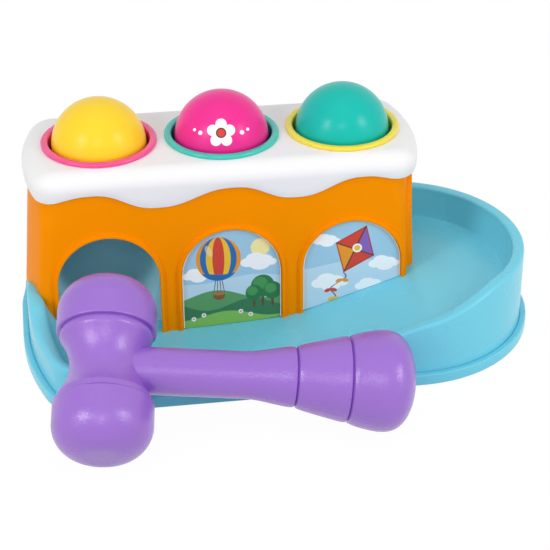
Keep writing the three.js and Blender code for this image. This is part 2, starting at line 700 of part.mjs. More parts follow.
// A hollow half ball about its centre. The lower half has a tongue inside the upper one.
function ballHalf(upper) {
  const steps = 5;
  const inner = BALL_RADIUS - BALL_WALL;
  const side = upper ? 1 : -1;
  const parting = (side * SEAT_GAP) / 2;
  const step = BALL_RADIUS - BALL_WALL / 2;
  const arc = (radius) => Array.from({ length: steps + 1 }, (_, k) => {
    const start = Math.asin(Math.abs(parting) / radius);
    const angle = lerp(start, Math.PI / 2, k / steps);
    return [k === steps ? 0 : radius * Math.cos(angle), side * radius * Math.sin(angle)];
  });
  const outerArc = arc(BALL_RADIUS);
  const innerArc = arc(inner).reverse();
  if (upper) {
    const foot = BALL_LAP + SEAT_GAP;
    innerArc[steps] = [Math.sqrt(inner ** 2 - foot ** 2), foot];
    return turnedGeometry([...outerArc, ...innerArc, [step + SEAT_GAP / 2, foot], [step + SEAT_GAP / 2, parting]], 20);
  }
  const tongue = [[Math.sqrt(inner ** 2 - BALL_LAP ** 2), BALL_LAP], [step - SEAT_GAP / 2, BALL_LAP]];
  const profile = [...outerArc, ...innerArc, ...tongue, [step - SEAT_GAP / 2, parting]];
  return turnedGeometry(profile.reverse(), 20);
}

// The moulding inside the house: a niche behind the left arch and a ramp to the exit.
function ballChute(clearance) {
  const centre = RING_PLACES[0];
  const outer = NICHE_RADIUS + CHUTE_WALL;
  const wallPlan = new THREE.Shape();
  wallPlan.moveTo(centre + outer, NICHE_FRONT);
  wallPlan.absarc(centre, 0, outer, 0, Math.PI, false);
  wallPlan.lineTo(centre - outer, NICHE_FRONT);
  wallPlan.lineTo(centre - NICHE_RADIUS, NICHE_FRONT);
  wallPlan.absarc(centre, 0, NICHE_RADIUS, Math.PI, 0, true);
  wallPlan.lineTo(centre + NICHE_RADIUS, NICHE_FRONT);
  const floorPlan = new THREE.Shape();
  floorPlan.moveTo(centre + outer, NICHE_FRONT);
  floorPlan.absarc(centre, 0, outer, 0, Math.PI, false);
  floorPlan.lineTo(centre - outer, NICHE_FRONT);
  const low = rampHeight(centre) + SEAT_GAP + CHUTE_WALL;
  const wedge = polygon([[NICHE_FRONT, 0], [outer, 0], [outer, low + NICHE_FALL], [NICHE_FRONT, low]]);
  const slope = pushedRight(wedge, centre - outer - 1, centre + outer + 1);
  const floor = pushedUp(floorPlan, 0, NICHE_TOP).intersect(slope);
  const strip = (from, to, below, above, front, back) => pushedBack(polygon([
    [from, chuteHeight(from) - below],
    [to, chuteHeight(to) - below],
    [to, chuteHeight(to) + above],
    [from, chuteHeight(from) + above],
  ]), front, back);
  const side = CHUTE_HALF_WIDTH + CHUTE_WALL;
  const joint = centre + NICHE_RADIUS + CHUTE_WALL / 2;
  const pieces = [
    pushedUp(wallPlan, 0, NICHE_TOP),
    floor,
    strip(CHUTE_START, CHUTE_END, CHUTE_WALL, 0, -side, side),
    strip(joint, CHUTE_START + 1, CHUTE_WALL, 0, -CHUTE_TONGUE, CHUTE_TONGUE),
    strip(CHUTE_START, CHUTE_END, CHUTE_WALL, CHUTE_RAIL, -side, -CHUTE_HALF_WIDTH),
    strip(CHUTE_START, CHUTE_END, CHUTE_WALL, CHUTE_RAIL, CHUTE_HALF_WIDTH, side),
    ...CHUTE_BOSSES.map((x) => rod(x, 0, 0, chuteHeight(x) - CHUTE_WALL / 2, CHUTE_BOSS_RADIUS)),
  ];
  const pilots = CHUTE_BOSSES.map((x) => rod(x, 0, 0, chuteHeight(x) - 1.5 * CHUTE_WALL, SCREW_HOLE));
  return joined(pieces).subtract(joined(pilots)).subtract(clearance);
}

function screw(length) {
  return turnedGeometry([
    [0, -SCREW_HEAD_HEIGHT],
    [0.8 * SCREW_HEAD_RADIUS, -SCREW_HEAD_HEIGHT],
    [SCREW_HEAD_RADIUS, 0],
    [SCREW_RADIUS, 0],
    [SCREW_RADIUS, length - SCREW_RADIUS],
    [0, length],
  ], 8);
}

// The hammer about the crossing of its axes: the head along Y, the handle along +X.
function hammerHalf(upper) {
  const endFlat = HEAD_RADIUS - HEAD_END_ROUND;
  const endFlatAt = HEAD_LENGTH / 2;
  const headHalf = (wall) => {
    const round = HEAD_END_ROUND - wall;
    const cap = [90, 60, 30, 0].map((degrees) => {
      const angle = degToRad(degrees);
      return [endFlat + round * Math.cos(angle), endFlatAt - HEAD_END_ROUND + round * Math.sin(angle)];
    });
    const waist = (at) => WAIST_RADIUS + (WAIST_END_RADIUS - WAIST_RADIUS) * (at / waistEnd) ** 2 - wall;
    const groove = WAIST_END_RADIUS - GROOVE_DEPTH - wall;
    const neck = [[HEAD_RADIUS - wall, CAP_EDGE + wall], [groove, CAP_EDGE - 0.2 + wall / 2]];
    if (wall > 0) neck.push([groove, waistEnd]);
    else neck.push([groove, bandEnd + 0.2], [WAIST_END_RADIUS, bandEnd], [WAIST_END_RADIUS, waistEnd]);
    return [[0, cap[0][1]], ...cap, ...neck, [waist(0.6 * waistEnd), 0.6 * waistEnd], [waist(0), 0]];
  };
  const bandEnd = CAP_EDGE - GROOVE_WIDTH;
  const waistEnd = bandEnd - BAND_WIDTH;
  const head = (wall) => {
    const half = headHalf(wall);
    const far = half.slice(0, -1).map(([radius, at]) => [radius, -at]);
    return solid(turnedGeometry([...far, ...half.reverse()], 20).rotateX(-Math.PI / 2));
  };
  const handle = (wall) => {
    const flare = HANDLE_PROFILE.flatMap(([fromEnd, radius]) => {
      const at = HANDLE_LENGTH - fromEnd;
      if (!GRIP_LINES_FROM_END.includes(fromEnd) || wall > 0) return [[radius - wall, at]];
      return [[radius, at - 1], [radius - GRIP_LINE_DEPTH, at], [radius + 0.2, at + 1]];
    });
    const end = HANDLE_LENGTH - wall;
    const start = [[0, 0], [SHAFT_RADIUS - wall, 0]];
    const profile = [...start, ...flare, [0.55 * flare.at(-1)[0], end], [0, end]];
    return solid(turnedGeometry(profile, 20).rotateY(Math.PI / 2));
  };
  const hollow = head(0).add(handle(0)).subtract(head(HAMMER_WALL)).subtract(handle(HAMMER_WALL));
  const reach = HEAD_LENGTH + HANDLE_LENGTH;
  const gap = SEAT_GAP / 2;
  const keep = upper ? box([-reach, -reach, gap], [reach, reach, reach]) : box([-reach, -reach, -reach], [reach, reach, -gap]);
  return geometryOf(hollow.intersect(keep));
}

// The lying hammer stands on the round edge of one head end and on its knob.
function hammerPose() {
  const tilt = degToRad(HAMMER_TILT);
  const headReach = (dip) => {
    const down = Math.cos(dip) * Math.sin(tilt);
    const flat = HEAD_RADIUS - HEAD_END_ROUND;
    return down * (HEAD_LENGTH / 2 - HEAD_END_ROUND) + HEAD_END_ROUND + flat * Math.sqrt(1 - down * down);
  };
  let dip = 0;
  for (let pass = 0; pass < 8; pass++) {
    dip = Math.asin((headReach(dip) - KNOB_RADIUS * Math.cos(dip)) / KNOB_AT);
  }
  const turn = new THREE.Euler(tilt, dip, degToRad(HAMMER_YAW), "ZYX");
  return { turn, height: headReach(dip) };
}

const part = new THREE.Group();
part.name = "pound_and_roll_tower";

function add(name, geometry, colour, roughness = 0.3, metalness = 0) {
  const mesh = new THREE.Mesh(geometry, new THREE.MeshStandardMaterial({ color: colour, roughness, metalness }));
  mesh.name = name;
  part.add(mesh);
  return mesh;
}

const clearance = baseClearance();
add("base_tray", geometryOf(baseTray()), BLUE);
add("ball_chute", geometryOf(ballChute(clearance)), BLUE);
add("house_shell", geometryOf(houseShell(clearance)), ORANGE);
add("icing_cover", geometryOf(icingCover()), WHITE, 0.35);
LABEL_PLACES.forEach((x, i) => {
  add(`label_${["middle", "right"][i]}`, geometryOf(label(x, clearance)), LABEL_SKY, 0.5);
});
RING_PLACES.forEach((x, i) => {
  const place = PLACE_NAMES[i];
  add(`ring_${place}`, ring(), RING_COLOURS[i]).position.x = x;
  add(`collar_${place}`, collar(), COLLAR_GREY, 0.7).position.x = x;
  add(`ball_${place}_upper`, ballHalf(true), BALL_COLOURS[i], 0.2).position.set(x, 0, BALL_Z);
  add(`ball_${place}_lower`, ballHalf(false), BALL_COLOURS[i], 0.2).position.set(x, 0, BALL_Z);
});
COLUMN_PLACES.forEach(([x, y], i) => {
  add(`base_screw_${i + 1}`, screw(SCREW_LENGTH), STEEL, 0.35, 1).position.set(x, y, floorSeat(x) - SCREW_FIT);
});
chuteScrewPlaces.forEach(([x, y], i) => {
  add(`chute_screw_${i + 1}`, screw(SCREW_LENGTH), STEEL, 0.35, 1).position.set(x, y, floorSeat(x) - SCREW_FIT);
});
POST_PLACES.forEach(([x, y], i) => {
  add(`cover_screw_${i + 1}`, screw(SCREW_LENGTH), STEEL, 0.35, 1).position.set(x, y, lugSeat - SCREW_FIT);
});
const pose = hammerPose();
[true, false].forEach((upper) => {
  const half = add(`hammer_half_${upper ? "upper" : "lower"}`, hammerHalf(upper), PURPLE, 0.35);
  half.position.set(HAMMER_X, HAMMER_Y, pose.height);
  half.rotation.copy(pose.turn);
});

export default part;
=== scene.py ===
# A pound-and-roll ball toy in moulded plastic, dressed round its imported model. Sizes are
# written in millimetres and turned into metres where a mesh is made.
import math

import bmesh
import bpy
from mathutils import Euler, Matrix, Vector
from mathutils.bvhtree import BVHTree


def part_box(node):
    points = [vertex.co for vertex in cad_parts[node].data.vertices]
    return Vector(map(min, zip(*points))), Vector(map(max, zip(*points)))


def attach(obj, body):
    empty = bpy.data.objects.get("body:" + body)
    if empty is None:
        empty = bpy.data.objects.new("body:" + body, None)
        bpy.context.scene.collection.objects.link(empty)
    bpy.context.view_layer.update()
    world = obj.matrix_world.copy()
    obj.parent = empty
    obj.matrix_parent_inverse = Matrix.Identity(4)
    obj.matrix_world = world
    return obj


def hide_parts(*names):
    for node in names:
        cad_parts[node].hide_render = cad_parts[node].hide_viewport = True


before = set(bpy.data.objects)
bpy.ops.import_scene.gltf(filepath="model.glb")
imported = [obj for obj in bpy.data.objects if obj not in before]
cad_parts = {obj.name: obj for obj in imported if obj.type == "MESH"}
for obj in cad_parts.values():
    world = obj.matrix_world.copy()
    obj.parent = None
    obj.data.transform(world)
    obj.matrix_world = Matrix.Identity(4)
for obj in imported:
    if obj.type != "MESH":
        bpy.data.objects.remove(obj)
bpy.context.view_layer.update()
scene = bpy.context.scene
scene.view_settings.view_transform = "Standard"

# The camera stands a little left of the middle and looks down on the toy through a long lens.
CAMERA_PLACE = (-0.08825, -0.79986, 0.49999)
CAMERA_TURN = math.radians(8.32)
CAMERA_DIP = math.radians(31.15)
CAMERA_LENS, CAMERA_SENSOR = 110.23, 36
camera_data = bpy.data.cameras.new("photo_camera")
camera_data.sensor_width = CAMERA_SENSOR
camera_data.lens = CAMERA_LENS
camera = bpy.data.objects.new("photo_camera", camera_data)
camera.location = CAMERA_PLACE
camera.rotation_euler = Euler((math.pi / 2 - CAMERA_DIP, 0, -CAMERA_TURN), "XYZ")
scene.collection.objects.link(camera)
scene.camera = camera

# The studio: a white sheet on the floor under a white sky, a wide lamp overhead, a soft box over the
# camera, and to the left and right a low lamp under a soft box. Only the soft boxes show as glints.
FLOOR_HALF, FLOOR_DROP = 3.0, 0.0002
FLOOR_GREY = (0.66, 0.66, 0.66, 1)
FLOOR_GLOW, GLOW_STRENGTH = 0.94, 1.03
AMBIENT = 0.46
# Each lamp has its place, its aim, its size, its power, and whether a gloss shows it.
LAMPS = {
    "wide_lamp": ((-0.1, -0.25, 1.3), (0.0, -0.03, 0.04), (1.2, 1.0), 3.7, False),
    "left_low_lamp": ((-0.86, -0.62, 0.24), (0.0, -0.03, 0.05), (0.5, 0.4), 1.6, False),
    "right_low_lamp": ((0.86, -0.62, 0.24), (0.0, -0.03, 0.05), (0.5, 0.4), 1.95, False),
    "left_soft_box": ((-0.77, -0.63, 0.64), (0.0, -0.03, 0.07), (0.23, 0.33), 2.3, True),
    "right_soft_box": ((0.77, -0.63, 0.64), (0.0, -0.03, 0.07), (0.23, 0.33), 2.05, True),
    "front_soft_box": ((-0.14, -1.02, 0.7), (0.0, -0.05, 0.05), (0.34, 0.24), 1.0, True),
}


def wired(tree, node, sockets):
    """Gives each named socket of a node its value, or joins it to another node's output."""
    for key, value in sockets.items():
        if isinstance(value, bpy.types.NodeSocket):
            tree.links.new(value, node.inputs[key])
        else:
            node.inputs[key].default_value = value
    return node


def added(tree, kind, sockets=None, **settings):
    """A new node of a kind, with its settings made before its sockets are wired."""
    node = tree.nodes.new(kind)
    for setting, value in settings.items():
        setattr(node, setting, value)
    return wired(tree, node, sockets or {})


def reckon(tree, operation, *values):
    """The outcome of a sum over numbers and other nodes' outputs."""
    return added(tree, "ShaderNodeMath", dict(enumerate(values)), operation=operation).outputs[0]


def seen_directly(tree):
    """One where the camera sees a surface straight, in a gloss or through a clear piece."""
    path = added(tree, "ShaderNodeLightPath").outputs
    seen = path["Is Camera Ray"]
    for other in ("Is Glossy Ray", "Is Transmission Ray"):
        seen = reckon(tree, "MAXIMUM", seen, path[other])
    return seen


world = bpy.data.worlds.new("white_sky")
scene.world = world
world.use_nodes = True
sky = world.node_tree
sky.nodes.clear()
sky_strength = added(sky, "ShaderNodeMapRange", {
    "Value": seen_directly(sky), "To Min": AMBIENT, "To Max": 1.0,
})
sky_light = added(sky, "ShaderNodeBackground", {
    "Color": (1, 1, 1, 1), "Strength": sky_strength.outputs["Result"],
})
added(sky, "ShaderNodeOutputWorld", {"Surface": sky_light.outputs["Background"]})

floor_paper = bpy.data.materials.new("white_floor_sheet")
floor_paper.use_nodes = True
paper = floor_paper.node_tree
paper.nodes.clear()
paper_mix = added(paper, "ShaderNodeMixShader", {
    "Fac": reckon(paper, "MULTIPLY", seen_directly(paper), FLOOR_GLOW),
    1: added(paper, "ShaderNodeBsdfDiffuse", {"Color": FLOOR_GREY}).outputs[0],
    2: added(paper, "ShaderNodeEmission", {"Strength": GLOW_STRENGTH}).outputs[0],
})
added(paper, "ShaderNodeOutputMaterial", {"Surface": paper_mix.outputs[0]})
floor_mesh = bpy.data.meshes.new("studio_floor")
floor_corners = [
    (x * FLOOR_HALF, y * FLOOR_HALF, -FLOOR_DROP) for x, y in ((-1, -1), (1, -1), (1, 1), (-1, 1))
]
floor_mesh.from_pydata(floor_corners, [], [(0, 1, 2, 3)])
floor_mesh.materials.append(floor_paper)
floor = bpy.data.objects.new("studio_floor", floor_mesh)
scene.collection.objects.link(floor)

for lamp_name, (place, aim, size, power, in_gloss) in LAMPS.items():
    lamp = bpy.data.lights.new(lamp_name, "AREA")
    lamp.shape = "RECTANGLE"
    lamp.size, lamp.size_y = size
    lamp.energy = power
    lamp_object = bpy.data.objects.new(lamp_name, lamp)
    lamp_object.location = place
    lamp_object.rotation_euler = (Vector(aim) - Vector(place)).to_track_quat("-Z", "Y").to_euler()
    lamp_object.visible_glossy = in_gloss
    scene.collection.objects.link(lamp_object)


# The base is one thin blue plastic moulding: a flange on the floor, a hollow rounded rim that climbs
# from the front lip to the back, and a floor that ramps up from the tray and turns under the exit.
# Ribs stiffen it underneath, and screws go up through it into the pieces that stand on it.
MM = 0.001
BASE_FRONT, BASE_BACK = -101.6, 41.4
TURN_X = 91.3
BASE_LEFT, BASE_LEFT_BACK = -112.3, -110
SIDE_BEND_Y, SIDE_BEND_RADIUS, SIDE_BEND_ANGLE = -29.5, 160, 21
BACK_CORNER = 20
BASE_WALL = 2
FLANGE_HEIGHT, FLANGE_LEDGE = 6, 3.5
RIM_INNER = 10
RIM_ROUND, BANK_RIM_ROUND = 1.9, 4.6
FLANGE_GROOVE = 0.7
LIP_HEIGHT = 5.5
BACK_RIM, LEFT_RIM, BANK_RIM = 46.5, 22, 32
RIM_RISE_ANGLE, RIM_RISE_EASE, REAR_CLIMB = 40, 0.4, (-70, 70)
WALL_FOOT, BANK_WIDTH, BANK_EXTRA_RIM = 4, 22, 1.8
BANK_BACK_Y = -26
BANK_POINTS = [(-75, 23.4), (-62, 24.4), (-54, 27.5), (-43, BANK_RIM)]
BANK_END = (-90, -54)
BANK_SWELL, BANK_FADE = (28, 42), (62, 98)
SPINE_Y = (BASE_FRONT + BASE_BACK) / 2
TURN_RADIUS = (BASE_BACK - BASE_FRONT) / 2
SPINE_LEFT = -40
RAMP_POINTS = [
    (-112, 5.2), (-40, 5.2), (0, 6.6), (32, 9.4), (60, 17.8),
    (86, 26.2), (98, 29.8), (112, 30.2), (165, 30.2),
]
RIB_WIDTH = 3
RIB_STATIONS = (-72, -12, 50)
PROBE_START = 0.09
BASE_BLUE = "74d2e8"
MOTTLE_SCALE, POLISH_SPREAD = 42, 0.008


def lerp(a, b, t):
    return a + (b - a) * t


def ease(value, start, end):
    t = min(1, max(0, (value - start) / (end - start)))
    return t * t * (3 - 2 * t)


def read_off(points, x):
    """A value read off a row of (position, value) points on a smooth curve."""
    last = len(points) - 1
    if x <= points[0][0]:
        return points[0][1]
    if x >= points[last][0]:
        return points[last][1]
    i = max(k for k in range(last) if points[k][0] <= x)

    def slope(k):
        if k in (0, last):
            return 0
        return (points[k + 1][1] - points[k - 1][1]) / (points[k + 1][0] - points[k - 1][0])

    span = points[i + 1][0] - points[i][0]
    t = (x - points[i][0]) / span
    start = (1 + 2 * t) * (1 - t) ** 2 * points[i][1] + t * (1 - t) ** 2 * span * slope(i)
    return start + t * t * (3 - 2 * t) * points[i + 1][1] + t * t * (t - 1) * span * slope(i + 1)


def ramp_height(x):
    return read_off(RAMP_POINTS, x)


def rounded(corners, steps=6):
    """An open outline from (across, up, radius) corners, each corner turned into a curve."""
    points = []
    for k, (across, up, radius) in enumerate(corners):
        corner = Vector((across, up))
        if radius == 0 or k in (0, len(corners) - 1):
            points.append(corner)
            continue
        before = Vector(corners[k - 1][:2]) - corner
        after = Vector(corners[k + 1][:2]) - corner
        reach = radius / math.tan(before.angle(after) / 2)
        start = corner + before.normalized() * min(reach, 0.49 * before.length)
        end = corner + after.normalized() * min(reach, 0.49 * after.length)
        for step in range(steps + 1):
            t = step / steps
            points.append(start * (1 - t) ** 2 + corner * (2 * t * (1 - t)) + end * t * t)
    return points


def base_stations():
    """Places round the base's edge, anticlockwise, each with its outward direction."""
    stations = []

    def bend(cx, cy, radius, start, end, steps):
        for step in range(steps + 1):
            angle = math.radians(lerp(start, end, step / steps))
            nx, ny = math.cos(angle), math.sin(angle)
            stations.append((cx + radius * nx, cy + radius * ny, nx, ny))

    straight = [lerp(SPINE_LEFT, TURN_X, k / 66) for k in range(66)]
    back_y = BASE_BACK - BACK_CORNER
    sine, cosine = math.sin(math.radians(SIDE_BEND_ANGLE)), math.cos(math.radians(SIDE_BEND_ANGLE))
    corner = (SIDE_BEND_Y - BASE_FRONT - SIDE_BEND_RADIUS * sine) / (1 - sine)
    corner_x = BASE_LEFT + SIDE_BEND_RADIUS - (SIDE_BEND_RADIUS - corner) * cosine
    corner_start = 180 + SIDE_BEND_ANGLE
    bend(BASE_LEFT + SIDE_BEND_RADIUS, SIDE_BEND_Y, SIDE_BEND_RADIUS, 180, corner_start, 36)
    bend(corner_x, BASE_FRONT + corner, corner, lerp(corner_start, 270, 1 / 33), 270, 32)
    stations.extend((lerp(corner_x, SPINE_LEFT, k / 24), BASE_FRONT, 0, -1) for k in range(1, 24))
    stations.extend((x, BASE_FRONT, 0, -1) for x in straight)
    bend(TURN_X, SPINE_Y, TURN_RADIUS, -90, 90, 110)
    stations.extend((x, BASE_BACK, 0, 1) for x in reversed(straight))
    corner_x = BASE_LEFT_BACK + BACK_CORNER
    stations.extend((lerp(SPINE_LEFT, corner_x, k / 24), BASE_BACK, 0, 1) for k in range(1, 24))
    bend(corner_x, back_y, BACK_CORNER, 90, 180, 24)
    left_side = [(SIDE_BEND_Y, BASE_LEFT), (0, BASE_LEFT), (back_y, BASE_LEFT_BACK)]
    for k in range(1, 28):
        y = lerp(back_y, SIDE_BEND_Y, k / 28)
        stations.append((max(BASE_LEFT, read_off(left_side, y)), y, -1, 0))
    return stations


def rim_height(x, y):
    if x > TURN_X:
        angle = math.degrees(math.atan2(y - SPINE_Y, x - TURN_X))
        climb = min(1, (angle + 90) / RIM_RISE_ANGLE)
        share = lerp(climb, ease(climb, 0, 1), RIM_RISE_EASE)
        return lerp(ramp_height(TURN_X) + LIP_HEIGHT, BACK_RIM, share)
    if y > 0:
        return lerp(LEFT_RIM, BACK_RIM, ease(x, *REAR_CLIMB))
    if y > BANK_BACK_Y:
        return lerp(BANK_RIM, LEFT_RIM, ease(y, BANK_BACK_Y, 0))
    return lerp(read_off(BANK_POINTS, y), ramp_height(x) + LIP_HEIGHT, ease(x, *BANK_END))


def bank_share(x, y):
    """How far the wall spreads into the bank beside the left arch, from 0 to 1."""
    if x > BANK_END[1]:
        return 0
    return ease(-y, *BANK_SWELL) * (1 - ease(-y, *BANK_FADE))


def base_section(x, y, nx, ny):
    """The base cut at a station, as points from under the spine out to the edge and back in."""
    rim = rim_height(x, y)
    bank = bank_share(x, y)
    inner = RIM_INNER + BANK_EXTRA_RIM * bank
    foot = lerp(WALL_FOOT, BANK_WIDTH, bank)
    foot_x, foot_y = x - nx * (inner + foot), y - ny * (inner + foot)
    spine_x = min(max(x, SPINE_LEFT), TURN_X)
    low = ramp_height(foot_x)
    corner_share = bank if y > -BANK_FADE[0] else 1 - ease(x, *BANK_END)
    rim_round = lerp(RIM_ROUND, BANK_RIM_ROUND, corner_share)
    inner_wall = []
    for t in (0.06, 0.14, 0.24, 0.36, 0.5, 0.64, 0.78, 0.89, 0.95, 1):
        fall = (1 - t) ** lerp(1.3, 2, bank)
        inner_wall.append((inner + foot * t, low + (rim - RIM_ROUND - low) * fall, 0))
    upper = rounded([
        (0.4, 0, 0),
        (0, 0, 0.3),
        (0, FLANGE_HEIGHT, 0.9),
        (FLANGE_LEDGE - 0.55, FLANGE_HEIGHT, 0.2),
        (FLANGE_LEDGE - 0.4, FLANGE_HEIGHT - FLANGE_GROOVE, 0.2),
        (FLANGE_LEDGE, FLANGE_HEIGHT - FLANGE_GROOVE, 0.2),
        (FLANGE_LEDGE + 0.2, rim, rim_round),
        (inner, rim, rim_round),
        *inner_wall,
    ], 6)
    under_rim = rim - BASE_WALL - 0.6 * (rim_round - RIM_ROUND)
    lower = [
        (inner + foot, low - BASE_WALL),
        (inner - BASE_WALL, low - BASE_WALL),
        (inner - BASE_WALL - 0.2, under_rim),
        (FLANGE_LEDGE + BASE_WALL + 0.4, under_rim),
        (FLANGE_LEDGE + BASE_WALL, FLANGE_HEIGHT - BASE_WALL),
        (BASE_WALL, FLANGE_HEIGHT - BASE_WALL),
        (BASE_WALL, 0),
    ]
    section = [Vector((spine_x, SPINE_Y, ramp_height(spine_x) - BASE_WALL))]
    section.extend(Vector((x - nx * d, y - ny * d, z)) for d, z in lower)
    section.extend(Vector((x - nx * d, y - ny * d, z)) for d, z in upper)
    for share in (0.02, 0.06, 0.12, 0.2, 0.3, 0.4, 0.5, 0.6, 0.7, 0.8, 0.9, 1):
        floor_x, floor_y = lerp(foot_x, spine_x, share), lerp(foot_y, SPINE_Y, share)
        section.append(Vector((floor_x, floor_y, ramp_height(floor_x))))
    return section


def skinned(name, strips, round_again=True, ends_closed=False, lids=()):
    """A closed smooth mesh through strips of equally many points, in millimetres, and over its lids."""
    count = len(strips[0])
    points = [point * MM for strip in strips for point in strip]
    faces = []
    for s in range(len(strips) if round_again else len(strips) - 1):
        following = (s + 1) % len(strips)
        for k in range(count if ends_closed else count - 1):
            j = (k + 1) % count
            faces.append((s * count + k, following * count + k, following * count + j, s * count + j))
    return tidied(name, points, [*faces, *lids])


def tidied(name, points, faces):
    """A mesh from points and faces with doubles merged, faces turned out and shading smooth."""
    shape = bmesh.new()
    vertices = [shape.verts.new(point) for point in points]
    for face in faces:
        shape.faces.new([vertices[k] for k in face])
    bmesh.ops.remove_doubles(shape, verts=shape.verts, dist=1e-6)
    bmesh.ops.dissolve_degenerate(shape, edges=shape.edges, dist=1e-8)
    bmesh.ops.recalc_face_normals(shape, faces=shape.faces)
    mesh = bpy.data.meshes.new(name)
    shape.to_mesh(mesh)
    shape.free()
    smoothed(mesh)
    return mesh


def smoothed(mesh, sharp=35):
    mesh.shade_smooth()
    mesh.set_sharp_from_angle(angle=math.radians(sharp))


def joined(name, meshes):
    shape = bmesh.new()
    for mesh in meshes:
        shape.from_mesh(mesh)
        bpy.data.meshes.remove(mesh)
    result = bpy.data.meshes.new(name)
    shape.to_mesh(result)
    shape.free()
    smoothed(result)
    return result


def placed(name, mesh, finish):
    mesh.materials.clear()
    mesh.materials.append(finish)
    made = bpy.data.objects.new(name, mesh)
    scene.collection.objects.link(made)
    return made


def tint(code, shade=1.0):
    """A colour code as the linear values that shaders take."""
    parts = [int(code[k:k + 2], 16) / 255 for k in (0, 2, 4)]
    linear = [c / 12.92 if c <= 0.04045 else ((c + 0.055) / 1.055) ** 2.4 for c in parts]
    return (*(min(1, c * shade) for c in linear), 1)


def mixed(tree, share, first, second):
    """A colour between two others, by a share from 0 to 1."""
    sockets = {"Factor": share, "A": first, "B": second}
    return added(tree, "ShaderNodeMix", sockets, data_type="RGBA").outputs["Result"]


def moulded_plastic(name, code, gloss=0.3, grain_mm=0.9, grain_depth=0.02, mottle=0.004, shine=0.2):
    """Coloured plastic with faint mottling, an uneven gloss and the fine grain of its mould."""
    finish = bpy.data.materials.new(name)
    finish.use_nodes = True
    tree = finish.node_tree
    place = added(tree, "ShaderNodeTexCoord").outputs["Object"]
    cloud = added(tree, "ShaderNodeTexNoise", {
        "Vector": place, "Scale": MOTTLE_SCALE, "Detail": 1.5,
    }).outputs["Fac"]
    polish = added(tree, "ShaderNodeMapRange", {
        "Value": cloud, "From Min": 0.3, "From Max": 0.7,
        "To Min": gloss - POLISH_SPREAD, "To Max": gloss + POLISH_SPREAD,
    })
    grain = added(tree, "ShaderNodeTexNoise", {
        "Vector": place, "Scale": 1 / (grain_mm * MM), "Detail": 2,
    })
    bump = added(tree, "ShaderNodeBump", {
        "Height": grain.outputs["Fac"], "Strength": 1, "Distance": grain_depth * MM,
    })
    wired(tree, tree.nodes["Principled BSDF"], {
        "Base Color": mixed(tree, cloud, tint(code, 1 - mottle), tint(code, 1 + mottle)),
        "IOR": 1.5, "Specular IOR Level": shine,
        "Roughness": polish.outputs["Result"], "Normal": bump.outputs["Normal"],
    })
    return finish


def block(low, high):
    """A plain box between two corners, in millimetres, to be joined or cut with."""
    points = [Vector((x, y, z)) * MM for z in (low[2], high[2]) for x, y in (
        (low[0], low[1]), (high[0], low[1]), (high[0], high[1]), (low[0], high[1]))]
    faces = [(0, 3, 2, 1), (4, 5, 6, 7), (0, 1, 5, 4), (1, 2, 6, 5), (2, 3, 7, 6), (3, 0, 4, 7)]
    return tidied("block", points, faces)


base_mesh = skinned("base_sheet", [base_section(*station) for station in base_stations()])
base_ground = BVHTree.FromPolygons(
    [vertex.co.copy() for vertex in base_mesh.vertices],
    [tuple(face.vertices) for face in base_mesh.polygons],
)


def ground(x, y):
    """How high the base's upper face stands at a place, in millimetres."""
    hit = base_ground.ray_cast(Vector((x * MM, y * MM, PROBE_START)), Vector((0, 0, -1)))[0]
    return hit.z / MM if hit else 0


rib_inset = RIM_INNER - BASE_WALL / 2
base_ribs = [
    block((x - RIB_WIDTH / 2, BASE_FRONT + rib_inset, 0),
          (x + RIB_WIDTH / 2, BASE_BACK - rib_inset, ramp_height(x) - BASE_WALL / 2))
    for x in RIB_STATIONS
]
long_rib_end = TURN_X + math.sqrt((TURN_RADIUS - rib_inset) ** 2 - SPINE_Y ** 2)
long_rib_strips = []
for k in range(61):
    rib_x = lerp(BASE_LEFT + rib_inset, long_rib_end, k / 60)
    rib_top = ramp_height(rib_x) - BASE_WALL / 2
    long_rib_strips.append([
        Vector((rib_x, side * RIB_WIDTH / 2, z))
        for side, z in ((-1, 0), (1, 0), (1, rib_top), (-1, rib_top))
    ])


def tube_through(name, loops):
    """A closed mesh through loops of points, in millimetres, with flat ends."""
    count = len(loops[0])
    points = [point * MM for loop in loops for point in loop]
    last = (len(loops) - 1) * count
    faces = [tuple(reversed(range(count))), tuple(range(last, last + count))]
    for row in range(len(loops) - 1):
        for k in range(count):
            a, b = row * count + k, row * count + (k + 1) % count
            faces.append((a, b, b + count, a + count))
    return tidied(name, points, faces)


base_blue = moulded_plastic("base_blue_plastic", BASE_BLUE, gloss=0.27, grain_depth=0.006, shine=0.3)
base_whole = joined("base_tray", [base_mesh, *base_ribs, tube_through("long_rib", long_rib_strips)])
base_tray = placed("base_tray_skin", base_whole, base_blue)
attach(base_tray, "tower")
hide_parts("base_tray")


# The chute is a second blue plastic moulding inside the house: a round-backed niche behind the
# left arch and a channel that slopes down to the exit at the right-hand end. Its blue is lighter than
# the base's as painted light, standing in for light that its shaded niche doesn't get. It stands on
# the base and is screwed to it from below.
RING_PITCH = 65
CHUTE_WALL = 1.8
NICHE_RADIUS, NICHE_FRONT, NICHE_TOP = 26.6, -28, 78
NICHE_LOW, NICHE_FALL, NICHE_FILLET, NICHE_GAP = 7.3, 2.5, 24, 0.3
CHUTE_HALF_WIDTH, CHUTE_RAIL = 25.8, 10
CHUTE_START, CHUTE_END, CHUTE_LOW, CHUTE_SLOPE = -33.5, 94, 32.2, 0.07
# Painted light: this blue is set lighter than the base's to brighten the niche's shade.
CHUTE_BLUE_WITH_PAINTED_LIGHT = "a8dfec"


def niche_floor(y):
    return NICHE_LOW + NICHE_FALL * (y - NICHE_FRONT) / (NICHE_RADIUS - NICHE_FRONT)


